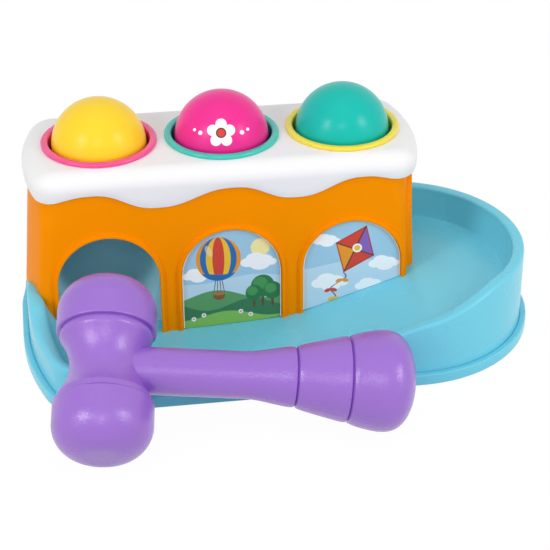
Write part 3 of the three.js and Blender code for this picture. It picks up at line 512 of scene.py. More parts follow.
def niche_strip(x, y, nx, ny):
    """The niche cut at a place on its U-shaped plan: up its outside, down its inside, along its floor."""
    floor_z = niche_floor(y)
    base_z = ramp_height(-RING_PITCH) + NICHE_GAP
    middle = (-RING_PITCH, min(y, 0))
    outside = (x + nx * CHUTE_WALL, y + ny * CHUTE_WALL)
    strip = [Vector((*middle, base_z)), Vector((*outside, base_z))]
    strip.extend(Vector((*outside, lerp(base_z, NICHE_TOP, k / 8))) for k in range(1, 8))
    strip.extend([Vector((*outside, NICHE_TOP)), Vector((x, y, NICHE_TOP))])
    for k in range(1, 12):
        strip.append(Vector((x, y, lerp(NICHE_TOP, floor_z + NICHE_FILLET, k / 11))))
    for k in range(1, 9):
        angle = math.radians(90 * k / 8)
        inset = NICHE_FILLET * (1 - math.cos(angle))
        lift = NICHE_FILLET * (1 - math.sin(angle))
        strip.append(Vector((x - nx * inset, y - ny * inset, floor_z + lift)))
    edge = strip[-1]
    for k in range(1, 7):
        spot = edge.lerp(Vector((*middle, 0)), k / 6)
        spot.z = niche_floor(spot.y)
        strip.append(spot)
    return strip


niche_plan = [(-RING_PITCH + NICHE_RADIUS, lerp(NICHE_FRONT, 0, k / 10), 1, 0) for k in range(10)]
for k in range(49):
    turn = math.pi * k / 48
    c, s = math.cos(turn), math.sin(turn)
    niche_plan.append((NICHE_RADIUS * c - RING_PITCH, NICHE_RADIUS * s, c, s))
niche_plan.extend((-RING_PITCH - NICHE_RADIUS, lerp(0, NICHE_FRONT, k / 10), -1, 0) for k in range(1, 11))
niche_strips = [niche_strip(*spot) for spot in niche_plan]
niche_count = len(niche_strips[0])
niche_lids = [
    tuple(s * niche_count + k for k in range(niche_count)) for s in (0, len(niche_strips) - 1)
]
niche_mesh = skinned("niche", niche_strips, round_again=False, lids=niche_lids)

chute_edge = CHUTE_HALF_WIDTH + CHUTE_WALL
chute_outline = rounded([
    (0, 0, 0),
    (CHUTE_HALF_WIDTH, 0, 3),
    (CHUTE_HALF_WIDTH, CHUTE_RAIL, 0.7),
    (chute_edge, CHUTE_RAIL, 0.7),
    (chute_edge, -CHUTE_WALL, 3.6),
    (0, -CHUTE_WALL, 0),
])
chute_outline += [Vector((-p.x, p.y)) for p in reversed(chute_outline[1:-1])]
chute_loops = []
for k in range(25):
    chute_x = lerp(CHUTE_START, CHUTE_END, k / 24)
    chute_z = CHUTE_LOW + CHUTE_SLOPE * (CHUTE_END - chute_x)
    chute_loops.append([Vector((chute_x, p.x, chute_z + p.y)) for p in chute_outline])
chute_mesh = joined("ball_chute", [niche_mesh, tube_through("channel", chute_loops)])
chute_blue = moulded_plastic("chute_blue_plastic_with_painted_light", CHUTE_BLUE_WITH_PAINTED_LIGHT, gloss=0.3, grain_depth=0.006)
ball_chute = placed("ball_chute_skin", chute_mesh, chute_blue)
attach(ball_chute, "tower")
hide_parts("ball_chute")


# The house is an orange plastic shell, open above and below, with bowed ends and walls that spread
# downwards. Raised rims frame its three front arches and the exit; screws from below hold it.
HOUSE_TOP, HOUSE_WALL = 95, 2.4
HOUSE_LEFT, HOUSE_RIGHT, HOUSE_HALF_DEPTH = -102.6, 98.6, 35.6
HOUSE_CORNER, HOUSE_CORNER_TOP = 4, 7
CORNER_EASE = (HOUSE_TOP - 25, HOUSE_TOP - 11)
FOOT_GUESS, FOOT_REACH, FOOT_GAP = 25, 2.6, 0.1
END_BOW = 7.5
FLARE_LEFT, FLARE_RIGHT, FLARE_SIDE = 0.085, 0.047, 0.042
ARCH_HALF_WIDTH, ARCH_SPRING, ARCH_RIM, ARCH_RIM_PROUD = 26.9, 37.3, 2.7, 1.5
EXIT_HALF_WIDTH, EXIT_SPRING, EXIT_RIM, EXIT_RIM_PROUD = 27.5, 56.5, 3, 2.8
RIM_ROOT, RIM_OVERHANG, RIM_STEP, RIM_STEP_HEIGHT = 0.6, 0.02, 0.62, 0.55
RIM_SINK, ARCH_FOOT_Y, LABEL_RECESS = 1, -41, 1.3
CUT_LOW, CUT_FRONT, CUT_BACK, EXIT_CUT = -8, -60, -20, (60, 130)
HOUSE_ORANGE = "ff9400"


def house_left(z):
    return HOUSE_LEFT - FLARE_LEFT * (HOUSE_TOP - z)


def house_right(z):
    return HOUSE_RIGHT + FLARE_RIGHT * (HOUSE_TOP - z)


def house_half_depth(z):
    return HOUSE_HALF_DEPTH + FLARE_SIDE * (HOUSE_TOP - z)


def bar_stations(corner_steps, end_steps, side_steps):
    """Places round a long plan with round corners, as shares along, across and the facing angle."""
    stations = []
    for k, (u, v) in enumerate(((1, -1), (1, 1), (-1, 1), (-1, -1))):
        start = 90 * k - 90
        for s in range(corner_steps + 1):
            stations.append((u, v, math.radians(start + 90 * s / corner_steps)))
        facing = math.radians(start + 90)
        steps = end_steps if k % 2 == 0 else side_steps
        for s in range(1, steps):
            share = lerp(1, -1, s / steps)
            if k % 2 == 0:
                stations.append((u, share * v, facing))
            else:
                stations.append((share * u, v, facing))
    return stations


def bar_point(station, left, right, half_depth, corner, z):
    u, v, facing = station
    west, east = left + END_BOW, right - END_BOW
    x = (west + east) / 2 + u * ((east - west) / 2 - corner) + corner * math.cos(facing)
    y = v * (half_depth - corner) + corner * math.sin(facing)
    x += math.copysign(END_BOW, u) * (1 - (y / half_depth) ** 2)
    return Vector((x, y, z))


def house_point(station, z, inset=0):
    corner = lerp(HOUSE_CORNER, HOUSE_CORNER_TOP, ease(z, *CORNER_EASE))
    left, right = house_left(z) + inset, house_right(z) - inset
    return bar_point(station, left, right, house_half_depth(z) - inset, corner - inset, z)


def house_foot(station, inset):
    """Where a wall meets the base: on the rim's top or on the ramp, whichever is higher there."""
    z = FOOT_GUESS
    for _ in range(4):
        spot = house_point(station, z, inset)
        within = house_point(station, z, inset + FOOT_REACH)
        z = max(ground(spot.x, spot.y), ground(within.x, within.y))
    return z + FOOT_GAP


def house_strip(station):
    strip = []
    for inset, upwards in ((HOUSE_WALL, False), (0, True)):
        foot = house_foot(station, inset)
        heights = [lerp(foot, CORNER_EASE[0], k / 8) for k in range(8)]
        heights += [lerp(CORNER_EASE[0], HOUSE_TOP, k / 8) for k in range(9)]
        if not upwards:
            heights.reverse()
        strip.extend(house_point(station, z, inset) for z in heights)
    return strip


def evaluated(worked):
    """The plain mesh that an object's modifiers leave."""
    bpy.context.view_layer.update()
    graph = bpy.context.evaluated_depsgraph_get()
    return bpy.data.meshes.new_from_object(worked.evaluated_get(graph))


def carved(mesh, tools, operation="DIFFERENCE"):
    """The mesh with each tool cut away from it or joined to it."""
    body = bpy.data.objects.new("carved", mesh)
    scene.collection.objects.link(body)
    helpers = []
    for tool in tools:
        helper = bpy.data.objects.new("tool", tool)
        scene.collection.objects.link(helper)
        helpers.append(helper)
        cut = body.modifiers.new("cut", "BOOLEAN")
        cut.operation = operation
        cut.solver = "EXACT"
        cut.object = helper
    result = evaluated(body)
    for helper in (body, *helpers):
        used = helper.data
        bpy.data.objects.remove(helper)
        bpy.data.meshes.remove(used)
    return result


def arch_outline(centre, half_width, spring, low):
    points = [(centre + half_width, low), (centre + half_width, spring)]
    for k in range(1, 64):
        angle = math.pi * k / 64
        points.append((centre + half_width * math.cos(angle), spring + half_width * math.sin(angle)))
    return points + [(centre - half_width, spring), (centre - half_width, low)]


def front_cutter(centre, back_of):
    """A prism of the arch's outline from in front of the house back to a depth given by height."""
    outline = arch_outline(centre, ARCH_HALF_WIDTH, ARCH_SPRING, CUT_LOW)
    loops = [[Vector((x, y_of(z), z)) for x, z in outline] for y_of in (lambda z: CUT_FRONT, back_of)]
    return tube_through("arch_cutter", loops)


def arch_rim(centre, half_width, spring, feet, rim, proud, spot):
    """A raised band round an arch. Spot gives the point at a place across, up and out from the wall."""
    step, step_height = RIM_STEP * rim, RIM_STEP_HEIGHT * proud
    section = rounded([
        (-RIM_OVERHANG, -RIM_ROOT, 0),
        (-RIM_OVERHANG, proud, 0.5),
        (step, proud, 0.45),
        (step, step_height, 0.15),
        (rim, step_height, 0.45),
        (rim, -RIM_ROOT, 0),
    ], 5)
    path = [(half_width, lerp(feet[0], spring, k / 6), 1, 0) for k in range(6)]
    for k in range(73):
        angle = math.pi * k / 72
        c, s = math.cos(angle), math.sin(angle)
        path.append((half_width * c, spring + half_width * s, c, s))
    path += [(-half_width, lerp(spring, feet[1], k / 6), -1, 0) for k in range(1, 7)]
    loops = []
    for across, up, nx, nz in path:
        loops.append([spot(centre + across + nx * p.x, up + nz * p.x, p.y) for p in section])
    return tube_through("arch_rim", loops)


def on_front(x, z, out):
    return Vector((x, -house_half_depth(z) - out, z))


def on_exit(y, z, out):
    return Vector((house_right(z) - END_BOW * (y / house_half_depth(z)) ** 2 + out, y, z))


house_mesh = skinned("house_walls", [house_strip(s) for s in bar_stations(10, 44, 110)], ends_closed=True)
exit_outline = arch_outline(0, EXIT_HALF_WIDTH, EXIT_SPRING, CUT_LOW)
exit_loops = [[Vector((x, y, z)) for y, z in exit_outline] for x in EXIT_CUT]


def recess_back(z):
    return LABEL_RECESS - house_half_depth(z)


house_mesh = carved(house_mesh, [
    front_cutter(-RING_PITCH, lambda z: CUT_BACK),
    front_cutter(0, recess_back),
    front_cutter(RING_PITCH, recess_back),
    tube_through("exit_cutter", exit_loops),
])
rim_meshes = []
for centre in (-RING_PITCH, 0, RING_PITCH):
    feet = [ground(centre + side * ARCH_HALF_WIDTH, ARCH_FOOT_Y) - RIM_SINK for side in (1, -1)]
    rim_meshes.append(
        arch_rim(centre, ARCH_HALF_WIDTH, ARCH_SPRING, feet, ARCH_RIM, ARCH_RIM_PROUD, on_front))
exit_feet = [ramp_height(HOUSE_RIGHT) - RIM_SINK] * 2
rim_meshes.append(
    arch_rim(0, EXIT_HALF_WIDTH, EXIT_SPRING, exit_feet, EXIT_RIM, EXIT_RIM_PROUD, on_exit))
house_orange = moulded_plastic(
    "house_orange_plastic", HOUSE_ORANGE, gloss=0.42, grain_depth=0.008, shine=0.03)
house_shell = placed("house_shell_skin", joined("house_shell", [house_mesh, *rim_meshes]), house_orange)
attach(house_shell, "tower")
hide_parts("house_shell")


# Printed card labels are glued into the recesses of the middle and right arches. One shows a striped
# balloon over hills, the other a kite among clouds.
LABEL_SKY, LABEL_BORDER, LABEL_GLOSS = "a5cfe6", 0.55, 0.42
INK_EDGE, FIBRE_SCALE, FIBRE_DEPTH = 0.12, 900, 0.012
HAZE_INK, WHITE_INK, BLUE_INK = "d9ecf6", "ffffff", "1f6fb2"
RED_INK, AMBER_INK, YELLOW_INK = "d9442f", "f39a1f", "f7c52f"
CLOUD_PUFFS = (
    (-0.95, -0.05, 0.55), (-0.3, 0.28, 0.72), (0.5, 0.12, 0.62), (1.1, -0.1, 0.42), (0.1, -0.2, 0.8),
)
BALLOON_X, BALLOON_Z = -7, 46.5
KITE_X, KITE_Z, KITE_TURN = 1.5, 46.5, -24
KITE_HALF_WIDTH, KITE_HALF_HEIGHT, KITE_SPAR_HALF = 11.5, 15, 0.35
TAIL_TOP, TAIL_LENGTH, TAIL_PATH = KITE_Z - 13.7, 17, (KITE_X - 6.1, 8, 2.6, 9)


class Print:
    """A flat print drawn by its shader: inks laid over each other, in millimetres on the label."""

    def __init__(self, name, centre_x, ground_ink):
        self.finish = bpy.data.materials.new(name)
        self.finish.use_nodes = True
        self.tree = self.finish.node_tree
        self.place = added(self.tree, "ShaderNodeTexCoord").outputs["Object"]
        apart = added(self.tree, "ShaderNodeSeparateXYZ", {"Vector": self.place})
        self.u = self.math("MULTIPLY_ADD", apart.outputs["X"], 1 / MM, -centre_x)
        self.v = self.math("MULTIPLY", apart.outputs["Z"], 1 / MM)
        self.colour = tint(ground_ink)

    def lay(self, code, mask, strength=1.0):
        share = self.math("MULTIPLY", mask, strength)
        self.colour = mixed(self.tree, share, self.colour, tint(code))

    def math(self, operation, *values):
        return reckon(self.tree, operation, *values)

    def square(self, value):
        return self.math("MULTIPLY", value, value)

    def edge(self, distance):
        """One inside a shape and nought outside, from a distance in millimetres, positive inside."""
        sockets = {"Value": distance, "From Min": -INK_EDGE, "From Max": INK_EDGE}
        return added(self.tree, "ShaderNodeMapRange", sockets).outputs["Result"]

    def turned(self, x, z, degrees):
        """Coordinates about a point, turned."""
        c, s = math.cos(math.radians(degrees)), math.sin(math.radians(degrees))
        du, dv = self.math("SUBTRACT", self.u, x), self.math("SUBTRACT", self.v, z)
        across = self.math("ADD", self.math("MULTIPLY", du, c), self.math("MULTIPLY", dv, s))
        up = self.math("SUBTRACT", self.math("MULTIPLY", dv, c), self.math("MULTIPLY", du, s))
        return across, up

    def oval(self, x, z, half_width, half_height, degrees=0):
        across, up = self.turned(x, z, degrees)
        squares = self.math("ADD", self.square(self.math("DIVIDE", across, half_width)),
                            self.square(self.math("DIVIDE", up, half_height)))
        inwards = self.math("SUBTRACT", 1, self.math("SQRT", squares))
        return self.edge(self.math("MULTIPLY", inwards, min(half_width, half_height)))

    def both(self, first, second):
        return self.math("MULTIPLY", first, second)

    def either(self, first, second):
        return self.math("MAXIMUM", first, second)

    def below(self, height, swell, wave, shift):
        """Everything under a rolling line."""
        phase = self.math("MULTIPLY_ADD", self.u, wave, shift)
        roll = self.math("MULTIPLY", self.math("SINE", phase), swell)
        return self.edge(self.math("SUBTRACT", self.math("ADD", roll, height), self.v))

    def cloud(self, x, z, size):
        mask = None
        for across, up, radius in CLOUD_PUFFS:
            puff = self.oval(x + across * size, z + up * size, radius * size * 1.15, radius * size * 0.8)
            mask = puff if mask is None else self.either(mask, puff)
        return mask

    def border(self, half_width, spring, width):
        """A bare edge of the card all round the arch."""
        above = self.math("MAXIMUM", self.math("SUBTRACT", self.v, spring), 0)
        squares = self.math("ADD", self.square(self.u), self.square(above))
        outwards = self.math("SUBTRACT", self.math("SQRT", squares), half_width - width)
        self.lay(WHITE_INK, self.edge(outwards))

    def wavy_line(self, path, top, bottom, half_width):
        """A line that winds down from one height to another, about a path (start, lean, sway, wave)."""
        start, lean, sway, wave = path
        drop = self.math("DIVIDE", self.math("SUBTRACT", top, self.v), top - bottom)
        swing = self.math("MULTIPLY", self.math("SINE", self.math("MULTIPLY", drop, wave)), sway)
        middle = self.math("ADD", self.math("MULTIPLY_ADD", drop, -lean, start), swing)
        off = self.math("ABSOLUTE", self.math("SUBTRACT", self.u, middle))
        line = self.edge(self.math("SUBTRACT", half_width, off))
        under_top = self.edge(self.math("SUBTRACT", top, self.v))
        over_bottom = self.edge(self.math("SUBTRACT", self.v, bottom))
        return self.both(line, self.both(under_top, over_bottom))

    def printed(self):
        fibre = added(self.tree, "ShaderNodeTexNoise", {
            "Vector": self.place, "Scale": FIBRE_SCALE, "Detail": 3,
        })
        bump = added(self.tree, "ShaderNodeBump", {
            "Height": fibre.outputs["Fac"], "Distance": FIBRE_DEPTH * MM,
        })
        wired(self.tree, self.tree.nodes["Principled BSDF"], {
            "Base Color": self.colour, "Roughness": LABEL_GLOSS, "Normal": bump.outputs["Normal"],
        })
        return self.finish


hills = Print("balloon_and_hills_print", 0, LABEL_SKY)
hills.lay(HAZE_INK, hills.below(34, 2.0, 0.1, 0.4), 0.6)
hills.lay("fff2a8", hills.oval(15.5, 52, 5.2, 5.2))
for x, z, size in ((14.5, 43.5, 6.2), (-18.5, 37.5, 5)):
    hills.lay(WHITE_INK, hills.cloud(x, z, size))
hills.lay("5f9f63", hills.below(24.5, 3.2, 0.12, 2.6))
hills.lay("3f7d52", hills.below(18.5, 3, 0.14, 0.2))
for x, z, size in ((16.5, 28.5, 6.4), (21.8, 25.5, 5), (11.8, 24.6, 4.6)):
    hills.lay("6b4a2e", hills.oval(x, z - size, 0.8, size))
    hills.lay("2f7a45", hills.oval(x, z, size, size * 1.05))
    hills.lay("4c9a52", hills.oval(x - size * 0.2, z + size * 0.25, size * 0.62, size * 0.6))
hills.lay("8cc65a", hills.below(12.5, 2.2, 0.13, 1.9))
for x in (-3.4, -1.2, 1.2, 3.4):
    hills.lay("5a4630", hills.oval(BALLOON_X + x * 0.62, 31.2, 0.22, 6.5, x * 2.6))
balloon = hills.oval(BALLOON_X, BALLOON_Z, 12, 13)
hills.lay(AMBER_INK, balloon)
for half, ink in ((9.8, BLUE_INK), (6.6, YELLOW_INK), (3.2, RED_INK)):
    hills.lay(ink, hills.both(balloon, hills.oval(BALLOON_X, BALLOON_Z, half, 13.2)))
hills.lay(BLUE_INK, hills.both(balloon, hills.below(37.6, 0.5, 0.3, 0)))
hills.lay("f6e3b0", hills.both(hills.oval(-12, 51.5, 1.6, 3.6, 22), balloon), 0.55)
hills.lay("8a5a30", hills.oval(BALLOON_X, 24.3, 3.1, 2.6))
hills.lay("b97a3e", hills.oval(BALLOON_X, 25.6, 3.2, 1))
for x, z in ((-21, 11), (-15.5, 13), (4.5, 13.8), (9.8, 11.6)):
    hills.lay(WHITE_INK, hills.oval(x, z, 1.3, 1.3))
    hills.lay(AMBER_INK, hills.oval(x, z, 0.6, 0.6))

kite = Print("kite_and_clouds_print", RING_PITCH, LABEL_SKY)
kite.lay(HAZE_INK, kite.below(38, 2.0, 0.09, 1.4), 0.6)
for x, z, size in ((-14, 53, 4.6), (17.5, 37, 5.4), (-12, 27.5, 6.4), (10, 24, 5.2)):
    kite.lay(WHITE_INK, kite.cloud(x, z, size))
kite.lay("6d4a8f", kite.wavy_line(TAIL_PATH, TAIL_TOP, TAIL_TOP - TAIL_LENGTH, 0.4))
for drop, ink in ((0.28, AMBER_INK), (0.6, RED_INK), (0.92, YELLOW_INK)):
    bow_x = TAIL_PATH[0] - TAIL_PATH[1] * drop + TAIL_PATH[2] * math.sin(drop * TAIL_PATH[3])
    bow_z = TAIL_TOP - TAIL_LENGTH * drop
    bow = [kite.oval(bow_x + side * 1.7, bow_z, 1.9, 1.1, -20 * side) for side in (-1, 1)]
    kite.lay(ink, kite.either(*bow))
kite_across, kite_up = kite.turned(KITE_X, KITE_Z, KITE_TURN)
kite_off, kite_over = kite.math("ABSOLUTE", kite_across), kite.math("ABSOLUTE", kite_up)
kite_slant = kite.math("ADD", kite.math("DIVIDE", kite_off, KITE_HALF_WIDTH),
                       kite.math("DIVIDE", kite_over, KITE_HALF_HEIGHT))
kite_body = kite.edge(kite.math("MULTIPLY", kite.math("SUBTRACT", 1, kite_slant), 8))
kite.lay("b8322f", kite_body)
kite_inside = kite.edge(kite.math("MULTIPLY", kite.math("SUBTRACT", 0.93, kite_slant), 8))
kite.lay(RED_INK, kite_inside)
kite_right = kite.edge(kite_across)
kite_top = kite.edge(kite_up)
kite.lay("8a63b8", kite.both(kite_inside, kite.both(kite_right, kite_top)))
kite_lower_left = kite.both(kite.math("SUBTRACT", 1, kite_right), kite.math("SUBTRACT", 1, kite_top))
kite.lay(AMBER_INK, kite.both(kite_inside, kite_lower_left))
kite_spar = kite.either(kite.edge(kite.math("SUBTRACT", KITE_SPAR_HALF, kite_off)),
                        kite.edge(kite.math("SUBTRACT", KITE_SPAR_HALF, kite_over)))
kite.lay("5c3626", kite.both(kite_body, kite_spar))
kite.lay(WHITE_INK, kite.oval(KITE_X + 1.2, KITE_Z + 0.6, 2.6, 2.6))
kite.lay(YELLOW_INK, kite.oval(KITE_X + 1.2, KITE_Z + 0.6, 1.7, 1.7))

for label_node, print_made in (("label_middle", hills), ("label_right", kite)):
    label_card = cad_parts[label_node]
    label_low, label_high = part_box(label_node)
    label_half = (label_high.x - label_low.x) / 2 / MM
    print_made.border(label_half, label_high.z / MM - label_half, LABEL_BORDER)
    label_card.data.materials.clear()
    label_card.data.materials.append(print_made.printed())


# The icing is a white plastic cover that drops over the house: a flat top with three round holes, a fat
# rounded shoulder and a skirt whose lower edge runs in drips. Posts inside take its screws.
COVER_TOP, COVER_WALL, COVER_FIT = 101.5, 1.8, 0.4
COVER_EDGE, COVER_TUCK, TUCK_HEIGHT = 9, 0.8, 13.5
COVER_CORNER, COVER_CORNER_LEAST = 9.2, 0.6
DRIP_LOW, DRIP_ROUND, DRIP_THIN = 81, 4, 0.45
DRIP_POINTS = [
    (-106, 85.6), (-99.5, 85.6), (-71.8, 89.2), (-38, 79.8), (2, 88.7),
    (34.5, 80.4), (71, 89.9), (91, 87.2), (106, 88.4),
]
HOLE_RADIUS = 28.6
ICING_WHITE = "f4f3f4"
COVER_SHOULDER = COVER_TOP - COVER_EDGE
cover_left = house_left(DRIP_LOW) - COVER_FIT - COVER_WALL
cover_right = house_right(DRIP_LOW) + EXIT_RIM_PROUD + COVER_FIT + COVER_WALL
cover_half_depth = house_half_depth(DRIP_LOW) + COVER_FIT + COVER_WALL


def drip_height(x):
    x = min(max(x, DRIP_POINTS[0][0]), DRIP_POINTS[-1][0])
    i = next(k for k in range(1, len(DRIP_POINTS)) if DRIP_POINTS[k][0] >= x)
    (x0, z0), (x1, z1) = DRIP_POINTS[i - 1], DRIP_POINTS[i]
    t = (x - x0) / (x1 - x0)
    return lerp(z0, z1, t ** 3 * (6 * t * t - 15 * t + 10))


def cover_point(station, inset, z):
    return bar_point(station, cover_left + inset, cover_right - inset, cover_half_depth - inset,
                     max(COVER_CORNER - inset, COVER_CORNER_LEAST), z)


def cover_wall_inset(z, wall):
    """How far the skin stands in at a height, on the skirt and over the shoulder."""
    if z <= COVER_SHOULDER:
        tuck = COVER_TUCK * (COVER_SHOULDER - z) / TUCK_HEIGHT
        return wall + (tuck if wall == 0 else 0)
    radius = COVER_EDGE - wall
    rise = min(radius, z - COVER_SHOULDER)
    return wall + radius - math.sqrt(radius * radius - rise * rise)


def cover_climb(start, wall, edge=0):
    """Points up one skin from a height to the top; the outer one draws in towards the wavy edge."""
    radius = COVER_EDGE - wall
    straight = max(0, COVER_SHOULDER - start)
    first = math.asin(min(1, max(0, (start - COVER_SHOULDER) / radius)))
    length = straight + radius * (math.pi / 2 - first)
    climb = []
    for k in range(25):
        along = length * k / 24
        if along <= straight:
            z = start + along
        else:
            z = COVER_SHOULDER + radius * math.sin(min(math.pi / 2, first + (along - straight) / radius))
        draw_in = edge * max(0, 1 - (z - start) / DRIP_ROUND) ** 2
        climb.append((cover_wall_inset(z, wall) + draw_in, z))
    return climb


def cover_strip(station):
    low = drip_height(cover_point(station, COVER_WALL / 2, COVER_SHOULDER).x)
    edge_round = (COVER_WALL - DRIP_THIN) / 2
    inner = list(reversed(cover_climb(low + edge_round, COVER_WALL)))
    outer = cover_climb(low + edge_round, 0, DRIP_THIN)
    lip = []
    for k in range(1, 8):
        angle = math.pi * k / 8
        share = (1 - math.cos(angle)) / 2
        lip.append((lerp(inner[-1][0], outer[0][0], share), low + edge_round * (1 - math.sin(angle))))
    return [cover_point(station, inset, z) for inset, z in (*inner, *lip, *outer)]


cover_strips = [cover_strip(station) for station in bar_stations(12, 44, 130)]
cover_count = len(cover_strips[0])
cover_lids = [
    tuple(s * cover_count + k for s in range(len(cover_strips))) for k in (0, cover_count - 1)
]


def round_cutter(x, radius, low, high):
    angles = [2 * math.pi * k / 128 for k in range(128)]
    loops = []
    for z in (low, high):
        loops.append([Vector((x + radius * math.cos(a), radius * math.sin(a), z)) for a in angles])
    return tube_through("round_cutter", loops)


cover_mesh = carved(skinned("icing_cover", cover_strips, lids=cover_lids), [
    round_cutter(x, HOLE_RADIUS, COVER_SHOULDER, COVER_TOP + 5) for x in (-RING_PITCH, 0, RING_PITCH)
])
smoothed(cover_mesh)
icing_white = moulded_plastic("icing_white_plastic", ICING_WHITE, gloss=0.34, grain_depth=0.008, shine=0.1)
icing_cover = placed("icing_cover_skin", cover_mesh, icing_white)
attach(icing_cover, "tower")
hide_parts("icing_cover")


# A glossy ring of coloured plastic is pushed into each hole of the icing: a short tube with a rounded
# lip that rests on the top. Each is one moulding, round all the way.
RING_LIP, RING_BORE, RING_TUBE = 30.5, 26.6, 28.2
RING_LIP_HEIGHT, RING_TUBE_DEPTH, RING_LIP_GAP, SEAT_GAP = 2.2, 6.5, 0.05, 0.3
RING_COLOURS = {
    "left": ("ring_pink", "f74a95"),
    "middle": ("ring_teal", "2ec4b6"),
    "right": ("ring_yellow", "ffde3c"),
}
RING_GLOW, RING_GLOW_DEPTH = 0.5, 4
PLACES = {"left": -RING_PITCH, "middle": 0, "right": RING_PITCH}


def node_tree(name, inputs):
    """A Geometry Nodes tree with named inputs; returns the tree, its inputs and each input's key."""
    tree = bpy.data.node_groups.new(name, "GeometryNodeTree")
    tree.interface.new_socket("Geometry", in_out="INPUT", socket_type="NodeSocketGeometry")
    keys = {}
    for label, kind in inputs.items():
        keys[label] = tree.interface.new_socket(label, in_out="INPUT", socket_type=kind).identifier
    tree.interface.new_socket("Geometry", in_out="OUTPUT", socket_type="NodeSocketGeometry")
    return tree, tree.nodes.new("NodeGroupInput").outputs, keys


def end_tree(tree, inputs, shape):
    """The end of a tree: its copies are made real and given their finish."""
    real = added(tree, "GeometryNodeRealizeInstances", {"Geometry": shape})
    finished = added(tree, "GeometryNodeSetMaterial", {
        "Geometry": real.outputs["Geometry"], "Material": inputs["Finish"],
    })
    added(tree, "NodeGroupOutput", {"Geometry": finished.outputs["Geometry"]})


def grown(name, mesh, tree, keys, values):
    """A plain mesh grown from a starting mesh by a tree, with the tree's inputs set first."""
    seed = bpy.data.objects.new(name, mesh)
    scene.collection.objects.link(seed)
    grower = seed.modifiers.new("grower", "NODES")
    grower.node_group = tree
    for label, value in values.items():
        grower[keys[label]] = value
    result = evaluated(seed)
    seed.modifiers.remove(grower)
    bpy.data.objects.remove(seed)
    bpy.data.meshes.remove(mesh)
    result.name = name
    return result


turned_tree, turned_in, turned_keys = node_tree("turned_ring", {
    "Sweep Radius": "NodeSocketFloat", "Sides": "NodeSocketInt",
    "Place": "NodeSocketVector", "Finish": "NodeSocketMaterial",
})
turned_profile = added(turned_tree, "GeometryNodeMeshToCurve", {"Mesh": turned_in["Geometry"]})
turned_circle = added(turned_tree, "GeometryNodeCurvePrimitiveCircle", {
    "Radius": turned_in["Sweep Radius"], "Resolution": turned_in["Sides"],
})
turned_sweep = added(turned_tree, "GeometryNodeCurveToMesh", {
    "Curve": turned_circle.outputs["Curve"], "Profile Curve": turned_profile.outputs["Curve"],
})
turned_move = added(turned_tree, "GeometryNodeTransform", {
    "Geometry": turned_sweep.outputs["Mesh"], "Translation": turned_in["Place"],
})
end_tree(turned_tree, turned_in, turned_move.outputs["Geometry"])


def turned(name, outline, sweep, place, finish, sides=128):
    """A ring turned from a closed outline of (radius, height) points, in millimetres."""
    profile = bpy.data.meshes.new(name)
    count = len(outline)
    points = [((p[0] - sweep) * MM, -p[1] * MM, 0) for p in outline]
    profile.from_pydata(points, [(k, (k + 1) % count) for k in range(count)], [])
    mesh = grown(name, profile, turned_tree, turned_keys, {
        "Sweep Radius": sweep * MM, "Sides": sides,
        "Place": tuple(Vector(place) * MM), "Finish": finish,
    })
    shape = bmesh.new()
    shape.from_mesh(mesh)
    bmesh.ops.recalc_face_normals(shape, faces=shape.faces)
    shape.to_mesh(mesh)
    shape.free()
    smoothed(mesh)
    return mesh


ring_seat = COVER_TOP + RING_LIP_GAP
ring_top = COVER_TOP + RING_LIP_HEIGHT
ring_low = COVER_TOP - RING_TUBE_DEPTH
ring_within = RING_BORE + 0.8
ring_outline = rounded([
    (ring_within, ring_low, 0),
    (RING_TUBE, ring_low, 0.4),
    (RING_TUBE, ring_seat, 0.2),
    (RING_LIP, ring_seat, 0.35),
    (RING_LIP, ring_top, 1.75),
    (RING_BORE, ring_top, 1.6),
    (RING_BORE, ring_low, 0.4),
    (ring_within, ring_low, 0),
], 8)[:-1]
for side, (ring_slot, ring_code) in RING_COLOURS.items():
    ring_plastic = moulded_plastic(
        f"{ring_slot}_plastic", ring_code, gloss=0.22, grain_depth=0.002, shine=0.7)
    wired(ring_plastic.node_tree, ring_plastic.node_tree.nodes["Principled BSDF"], {
        "Subsurface Weight": RING_GLOW,
        "Subsurface Radius": tint(ring_code)[:3],
        "Subsurface Scale": RING_GLOW_DEPTH * MM,
    })
    ring_mesh = turned(f"ring_{side}", ring_outline, RING_TUBE, (PLACES[side], 0, 0), ring_plastic)
    ring = placed(f"ring_{side}_turned", ring_mesh, ring_plastic)
    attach(ring, "tower")
    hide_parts(f"ring_{side}")


# Under each ring hangs a soft dark collar whose six leaning fingers hold the ball until it is struck.
# It is a moulded rubber piece pulled over the ring's tube.
BALL_RADIUS, BALL_Z, BALL_GRIP_GAP = 25, 100.4, 0.3
COLLAR_SLEEVE_WALL, COLLAR_SLEEVE_HEIGHT, COLLAR_WALL = 1.8, 3.2, 1.4
COLLAR_REACH, COLLAR_FINGERS, COLLAR_SLIT = 11, 6, 1.4
COLLAR_GREY = "5a5f66"
collar_seat = ring_low - SEAT_GAP
collar_sleeve = RING_TUBE + SEAT_GAP
collar_outer = collar_sleeve + COLLAR_SLEEVE_WALL
collar_tip_z = BALL_Z - COLLAR_REACH
collar_tip = math.sqrt((BALL_RADIUS + BALL_GRIP_GAP) ** 2 - COLLAR_REACH ** 2)
collar_sleeve_top = ring_low + COLLAR_SLEEVE_HEIGHT
sleeve_outline = rounded([
    (ring_within, collar_seat, 0),
    (RING_BORE, collar_seat, 0.3),
    (RING_BORE, collar_seat - COLLAR_WALL, 0.3),
    (collar_outer, collar_seat - COLLAR_WALL, 0.6),
    (collar_outer, collar_sleeve_top, 0.5),
    (collar_sleeve, collar_sleeve_top, 0.4),
    (collar_sleeve, collar_seat, 0.2),
    (ring_within, collar_seat, 0),
], 4)[:-1]
